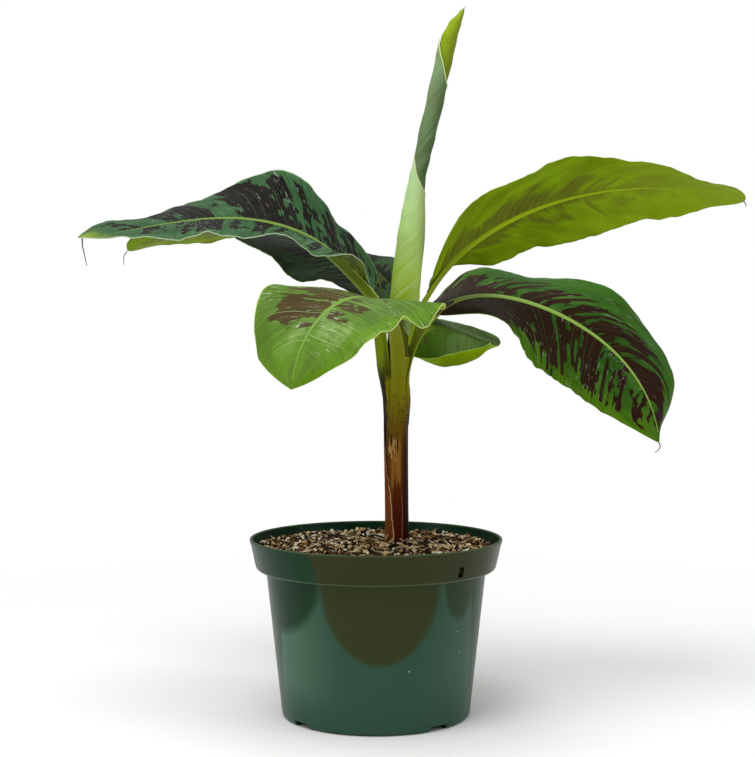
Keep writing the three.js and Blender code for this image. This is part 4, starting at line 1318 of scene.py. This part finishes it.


# %% [markdown]
# Each leaf differs in colour: the front one is young and bright, and the upper left one is dark. The back
# left one is nearly black over its left half and from about a third of its length on, which is painted shade
# where the upper left leaf shades it. Pairs are again for the left and the right half.
#
# Upper side: warm is how much the green takes the margin's colour on its way out, and tip gives from where,
# to where and how much the tip takes its own. Cover is how much wine there is and reach how far out it goes.
# Start and ends give from where, to where and how much it is held back near the base and the tip. Mix is the
# weight of patches, islands, torn ends and lanes, soft the width of their border, and lane the width of a
# lane in millimetres. Haze, veins and glint are the strength of bloom, pale veins and painted highlights.
#
# Underside: its green, the veil of the blotches, its tip, and how pale each half is, which on the back right
# leaf is painted light. Rim is the blade's edge. The stalk has its own colour, the midrib's, that of its
# streaks and that of its sharp lip.

# %% Leaf colours
COMMON_LOOK = {
    "lane": 6.0, "start": (0.02, 0.1, 0.15), "wine_share": 1.0, "haze": 0.2, "glint": 1.0, "pale": (0, 0),
}
LOOKS = {
    "leaf_front": {
        "seed": 2.3, "green": srgb(90, 124, 48), "margin": srgb(98, 142, 8), "warm": (0.75, 0.35),
        "tip": (0.55, 0.95, 0.8, srgb(84, 122, 0)), "wine": srgb(70, 45, 28), "wine_share": 0.92,
        "cover": (-0.04, 0.13), "reach": (0.5, 0.75), "ends": (0.6, 0.82, 0.7),
        "mix": (0.6, 0.9, 0.56, 0.4), "soft": 0.035,
        "haze": 0.3, "vein": srgb(176, 206, 130), "veins": 0.45,
        "under": srgb(140, 168, 50), "veil": srgb(100, 96, 40),
        "under_tip": (0.9, 1.0, 0.3, srgb(150, 170, 40)), "rim": srgb(190, 208, 120),
        "stalk": srgb(122, 126, 16), "rib": srgb(116, 154, 66), "shade": srgb(96, 94, 10),
        "lip": srgb(150, 164, 60),
    },
    "leaf_right": {
        "seed": 5.1, "green": srgb(52, 98, 28), "margin": srgb(80, 122, 8), "warm": (0.15, 0.95),
        "tip": (0.75, 1.0, 0.6, srgb(80, 118, 8)), "wine": srgb(46, 22, 15),
        "cover": (0.11, 0.09), "reach": (0.66, 0.86), "start": (0.12, 0.34, -0.42), "ends": (0.9, 1.0, 0.3),
        "mix": (0.8, 0.72, 0.44, 0.36), "soft": 0.012,
        "vein": srgb(120, 150, 70), "veins": 0.15,
        "under": srgb(118, 146, 26), "veil": srgb(86, 78, 30),
        "under_tip": (0.9, 1.0, 0.3, srgb(130, 140, 20)), "rim": srgb(96, 130, 20),
        "stalk": srgb(124, 138, 30), "rib": srgb(156, 192, 92), "shade": srgb(110, 136, 48),
        "lip": srgb(176, 188, 90),
    },
    "leaf_upper_left": {
        "seed": 8.7, "green": srgb(50, 88, 52), "margin": srgb(66, 106, 62), "warm": (0.5, 0.4),
        "tip": (0.9, 0.985, 0.9, srgb(130, 156, 30)), "wine": srgb(24, 14, 15),
        "cover": (0.05, 0.07), "reach": (0.8, 0.95), "start": (0.02, 0.1, 0.1), "ends": (0.7, 0.95, 0.4),
        "mix": (0.4, 1.0, 0.5, 0.5), "soft": 0.012, "lane": 8.0,
        "vein": srgb(120, 150, 110), "veins": 0.12, "glint": 0.45,
        "under": srgb(104, 128, 20), "veil": srgb(60, 60, 24),
        "under_tip": (0.9, 1.0, 0.3, srgb(130, 140, 30)), "rim": srgb(180, 198, 166),
        "stalk": srgb(112, 130, 6), "rib": srgb(112, 140, 62), "shade": srgb(60, 70, 18),
        "lip": srgb(196, 206, 130),
    },
    "leaf_upper_right": {
        "seed": 12.9, "green": srgb(66, 116, 36), "margin": srgb(104, 146, 26), "warm": (0.5, 0.5),
        "tip": (0.85, 1.0, 0.4, srgb(120, 150, 30)), "wine": srgb(50, 28, 18),
        "cover": (0.12, 0.14), "reach": (0.5, 0.5), "start": (0.02, 0.1, 0.1), "ends": (0.7, 0.92, 0.4),
        "mix": (1.3, 0.5, 0.36, 0.16), "soft": 0.02,
        "vein": srgb(150, 176, 70), "veins": 0.2, "glint": 0.5,
        "under": srgb(114, 142, 6), "veil": srgb(84, 76, 26),
        "under_tip": (0.4, 0.8, 0.55, srgb(136, 162, 6)), "rim": srgb(124, 148, 14),
        "stalk": srgb(122, 140, 20), "rib": srgb(150, 176, 14), "shade": srgb(100, 124, 8),
        "lip": srgb(160, 180, 40),
    },
    # Painted shade: the near-black margin colour, which the left half takes on its way out, and the
    # near-black tip from about a third of the blade on stand for the shade that the upper left leaf casts on
    # this one.
    "leaf_back_left": {
        "seed": 17.3, "green": srgb(44, 70, 34), "margin": srgb(8, 17, 5), "warm": (1.0, 0.2),
        "tip": (0.2, 0.34, 0.94, srgb(7, 19, 4)), "wine": srgb(14, 8, 7), "wine_share": 0.9,
        "cover": (0.08, 0.05), "reach": (0.7, 0.7), "ends": (0.86, 0.99, 0.3),
        "mix": (0.8, 0.72, 0.44, 0.36), "soft": 0.02,
        "haze": 0.1, "vein": srgb(40, 58, 30), "veins": 0.1, "glint": 0.06,
        "under": srgb(112, 134, 16), "veil": srgb(84, 84, 24),
        "under_tip": (0.9, 1.0, 0.6, srgb(120, 150, 10)), "rim": srgb(70, 90, 36),
        "stalk": srgb(58, 66, 14), "rib": srgb(48, 70, 24), "shade": srgb(30, 38, 8),
        "lip": srgb(60, 78, 26),
    },
    # Painted light: the pale tip from 0.4 to 0.8 along, the light margin colour that the left half takes on
    # its way out, and the pale left half underneath stand for where this leaf catches the light.
    "leaf_back_right": {
        "seed": 21.1, "green": srgb(94, 138, 20), "margin": srgb(116, 158, 60), "warm": (1.0, 0.1),
        "tip": (0.4, 0.8, 0.95, srgb(176, 214, 130)), "wine": srgb(104, 96, 74), "wine_share": 0.8,
        "cover": (0.0, -0.3), "reach": (0.6, 0.5), "ends": (0.5, 0.8, 0.4),
        "mix": (1.0, 0.6, 0.4, 0.26), "soft": 0.06,
        "haze": 0.3, "vein": srgb(150, 176, 120), "veins": 0.4,
        "under": srgb(120, 150, 4), "veil": srgb(100, 106, 20), "pale": (0.65, 0),
        "under_tip": (0.9, 1.0, 0.3, srgb(130, 160, 20)), "rim": srgb(158, 190, 90),
        "stalk": srgb(92, 104, 16), "rib": srgb(120, 152, 50), "shade": srgb(66, 80, 14),
        "lip": srgb(130, 150, 60),
    },
}
LOOKS = {name: COMMON_LOOK | look for name, look in LOOKS.items()}


# %% Build the leaves
def add_leaf(name, leaf, look):
    """Blade with its three finishes, and the stalk that carries it. The pair stands for the CAD leaf."""
    at = midrib(leaf)
    finishes = [
        leaf_top(name + "_top", leaf, look), leaf_under(name + "_under", leaf, look),
        leaf_edge(name + "_edge", look)]
    bm = skin(BLADE["along"], BLADE["across"], lambda s, a: blade_place(leaf, at, s, a * 2 - 1))
    blade = add_piece(bm, name + "_blade", finishes, [name], sharp=180)
    solid = thicken(blade, BLADE["thick"])
    solid.use_even_offset, solid.material_offset, solid.material_offset_rim = False, 1, 2
    bm = skin(
        STALK["along"], STALK["around"], lambda s, a: stalk_place(name, leaf, at, s, a), closed=True)
    add_piece(bm, name + "_stalk", [stalk_finish(name + "_stalk", look)], sharp=50)
    return at


midribs = {name: add_leaf(name, leaf, LOOKS[name]) for name, leaf in LEAVES.items()}

# %% [markdown]
# Four of the leaves end in a dried thread, the last bit of the tip that unrolled. It hangs from the tip, so
# it starts there and goes down by small steps to the side.

# %% Threads at the tips
TAILS = {
    # steps to the right and up, in mm from the tip
    "leaf_upper_left": [(0, 0), (0.5, -8), (3, -18), (5, -27)],
    "leaf_back_left": [(0, -1), (-4, -6), (-4, -17)],
    "leaf_right": [(0, 0), (1.5, -4), (-1, -8), (-5, -11)],
    "leaf_upper_right": [(0, 0), (2, -3), (2, -6)],
}
thread_finish = make_finish("dried_tip", {"Base Color": srgb(52, 40, 26), "Roughness": 0.7})
for name, steps in TAILS.items():
    tip = midribs[name](1)[0]
    points = [tip + Vector((right, 0.15 * rise, rise)) for right, rise in steps]
    add_strand(name + "_thread", points, 0.7, 0.3, thread_finish)

# %% [markdown]
# ## The rolled leaf
#
# A new leaf comes up through the middle of the stem, rolled like a scroll. One margin is wound round the
# outside, and seen from the front it shows as three nested tubes, each cut off at a slant. Winding one real
# spiral sheet would give the same picture with far more fuss, so each turn is its own sleeve here: a bent
# tube with a slanting top edge and a slightly flared lip.

# %% Roll sizes
ROLL = {
    "y": 16,
    # height, centre x, radius
    "stations": [
        (340, 23.0, 7.5), (376, 25.2, 8.0), (396, 27.2, 9.0), (412, 28.6, 13.8), (440, 31.1, 13.7),
        (480, 35.6, 12.9), (500, 37.6, 11.2), (520, 39.4, 8.9), (540, 42.2, 7.4), (560, 46.6, 7.6),
        (580, 50.8, 8.4), (620, 60, 8.3), (660, 69.2, 8.8), (680, 73.8, 9.3), (695, 79.8, 7.4),
        (705, 85.9, 3.9), (712, 90.1, 0.5),
    ],
}
ROLL_X = [(z, x) for z, x, _ in ROLL["stations"]]
ROLL_RADIUS = [(z, radius) for z, _, radius in ROLL["stations"]]
SLEEVES = {
    # low end, top on the left and on the right, extra radius, and whether the top is open
    "roll_lower": (342, 562, 524, 0.35, True),
    "roll_middle": (500, 679, 632, -0.2, True),
    "roll_tip": (610, 712, 712, -0.9, False),
}


def sleeve_place(sleeve, s, a):
    """Point of a sleeve, s of the way up, and a of the way round from the right."""
    low, left_top, right_top, extra, is_open = sleeve
    angle = math.tau * a
    top = left_top + (right_top - left_top) * (0.5 + 0.5 * math.cos(angle)) ** 0.8
    z = low + (top - low) * s
    wind = 0.9 * ((a + 0.35 + z * 0.004) % 1.0)
    radius = ramp(ROLL_RADIUS, z)
    radius = max(0.35, radius + extra - 0.45 + wind * min(1, radius / 8))
    if is_open:
        radius += 0.5 * smooth(0.97, 1, s)
    return Vector((ramp(ROLL_X, z) + radius * math.cos(angle), ROLL["y"] + radius * math.sin(angle), z))


# %% Roll finish
def roll_finish(name, stops, low, high, look):
    """Colour by height, lighter to the left, fine slanting veins, a brown breath and a pale free edge."""
    def paint(root):
        place, (x, _, z) = object_place(root)
        along, around = grid_place(root)
        slant = z * 0.5 - around * 42
        veins = cloud(point(slant, around * 2.0, 0.2), 1.0, 2, 0.6)
        stripes = root.math("SINE", (z * 0.9 + x * 1.4) + veins * 3)
        clouds = cloud(place, 0.035, 2)
        colour = colour_ramp((z - low) / (high - low), *stops)
        right = step(root.math("COSINE", around * math.tau), -0.2, 0.95)
        colour = blend(right * look["right"], colour, look["deep"])
        lines = step(veins, 0.45, 0.66) * 0.22 + step(stripes, 0.5, 1.0) * 0.07
        colour = blend(lines, colour, look["light"])
        colour = blend(step(clouds, 0.45, 0.7) * look["brown"], colour, srgb(86, 76, 48))
        return {
            "Base Color": blend(step(along, 0.98, 0.99), colour, srgb(196, 208, 140)),
            "Roughness": 0.45 + veins * 0.12,
            "Normal": bump(veins, 0.3, 0.4),
        }

    return make_finish(name, {"Specular IOR Level": 0.06}, paint)


# %% Sleeves
ROLL_LOOKS = {
    # colours from a low to a high place, those two heights, and the rest
    # Painted shade: the dark olive at the foot of the lower sleeve, up to about 400 mm, where it stands down
    # in the crown.
    "roll_lower": (
        [(0.0, (30, 36, 8)), (0.24, (54, 68, 12)), (0.31, (128, 150, 20)), (0.42, (146, 178, 50)),
         (0.7, (166, 200, 120)), (1.0, (176, 206, 156))],
        350, 560, {"right": 0.4, "deep": srgb(164, 190, 96), "light": srgb(206, 222, 172), "brown": 0.0}),
    "roll_middle": (
        [(0.0, (80, 104, 56)), (0.4, (92, 118, 74)), (0.8, (116, 142, 96)), (1.0, (138, 170, 112))],
        520, 680, {"right": 0.5, "deep": srgb(66, 88, 50), "light": srgb(150, 170, 140), "brown": 0.35}),
    "roll_tip": (
        [(0.0, (84, 90, 26)), (0.4, (122, 144, 20)), (1.0, (134, 160, 28))],
        630, 712, {"right": 0.5, "deep": srgb(112, 116, 30), "light": srgb(160, 184, 60), "brown": 0.2}),
}
for name, sleeve in SLEEVES.items():
    is_open = sleeve[-1]
    bm = skin(120, 56, lambda s, a: sleeve_place(sleeve, s, a), closed=not is_open)
    if is_open:
        bmesh.ops.remove_doubles(bm, verts=bm.verts, dist=1e-3)
        bmesh.ops.recalc_face_normals(bm, faces=bm.faces)
    stands_for = ["rolled_leaf"] if name == "roll_lower" else []
    piece = add_piece(bm, name, [roll_finish(name, *ROLL_LOOKS[name])], stands_for, sharp=60)
    if is_open:
        thicken(piece, 0.8, -1)
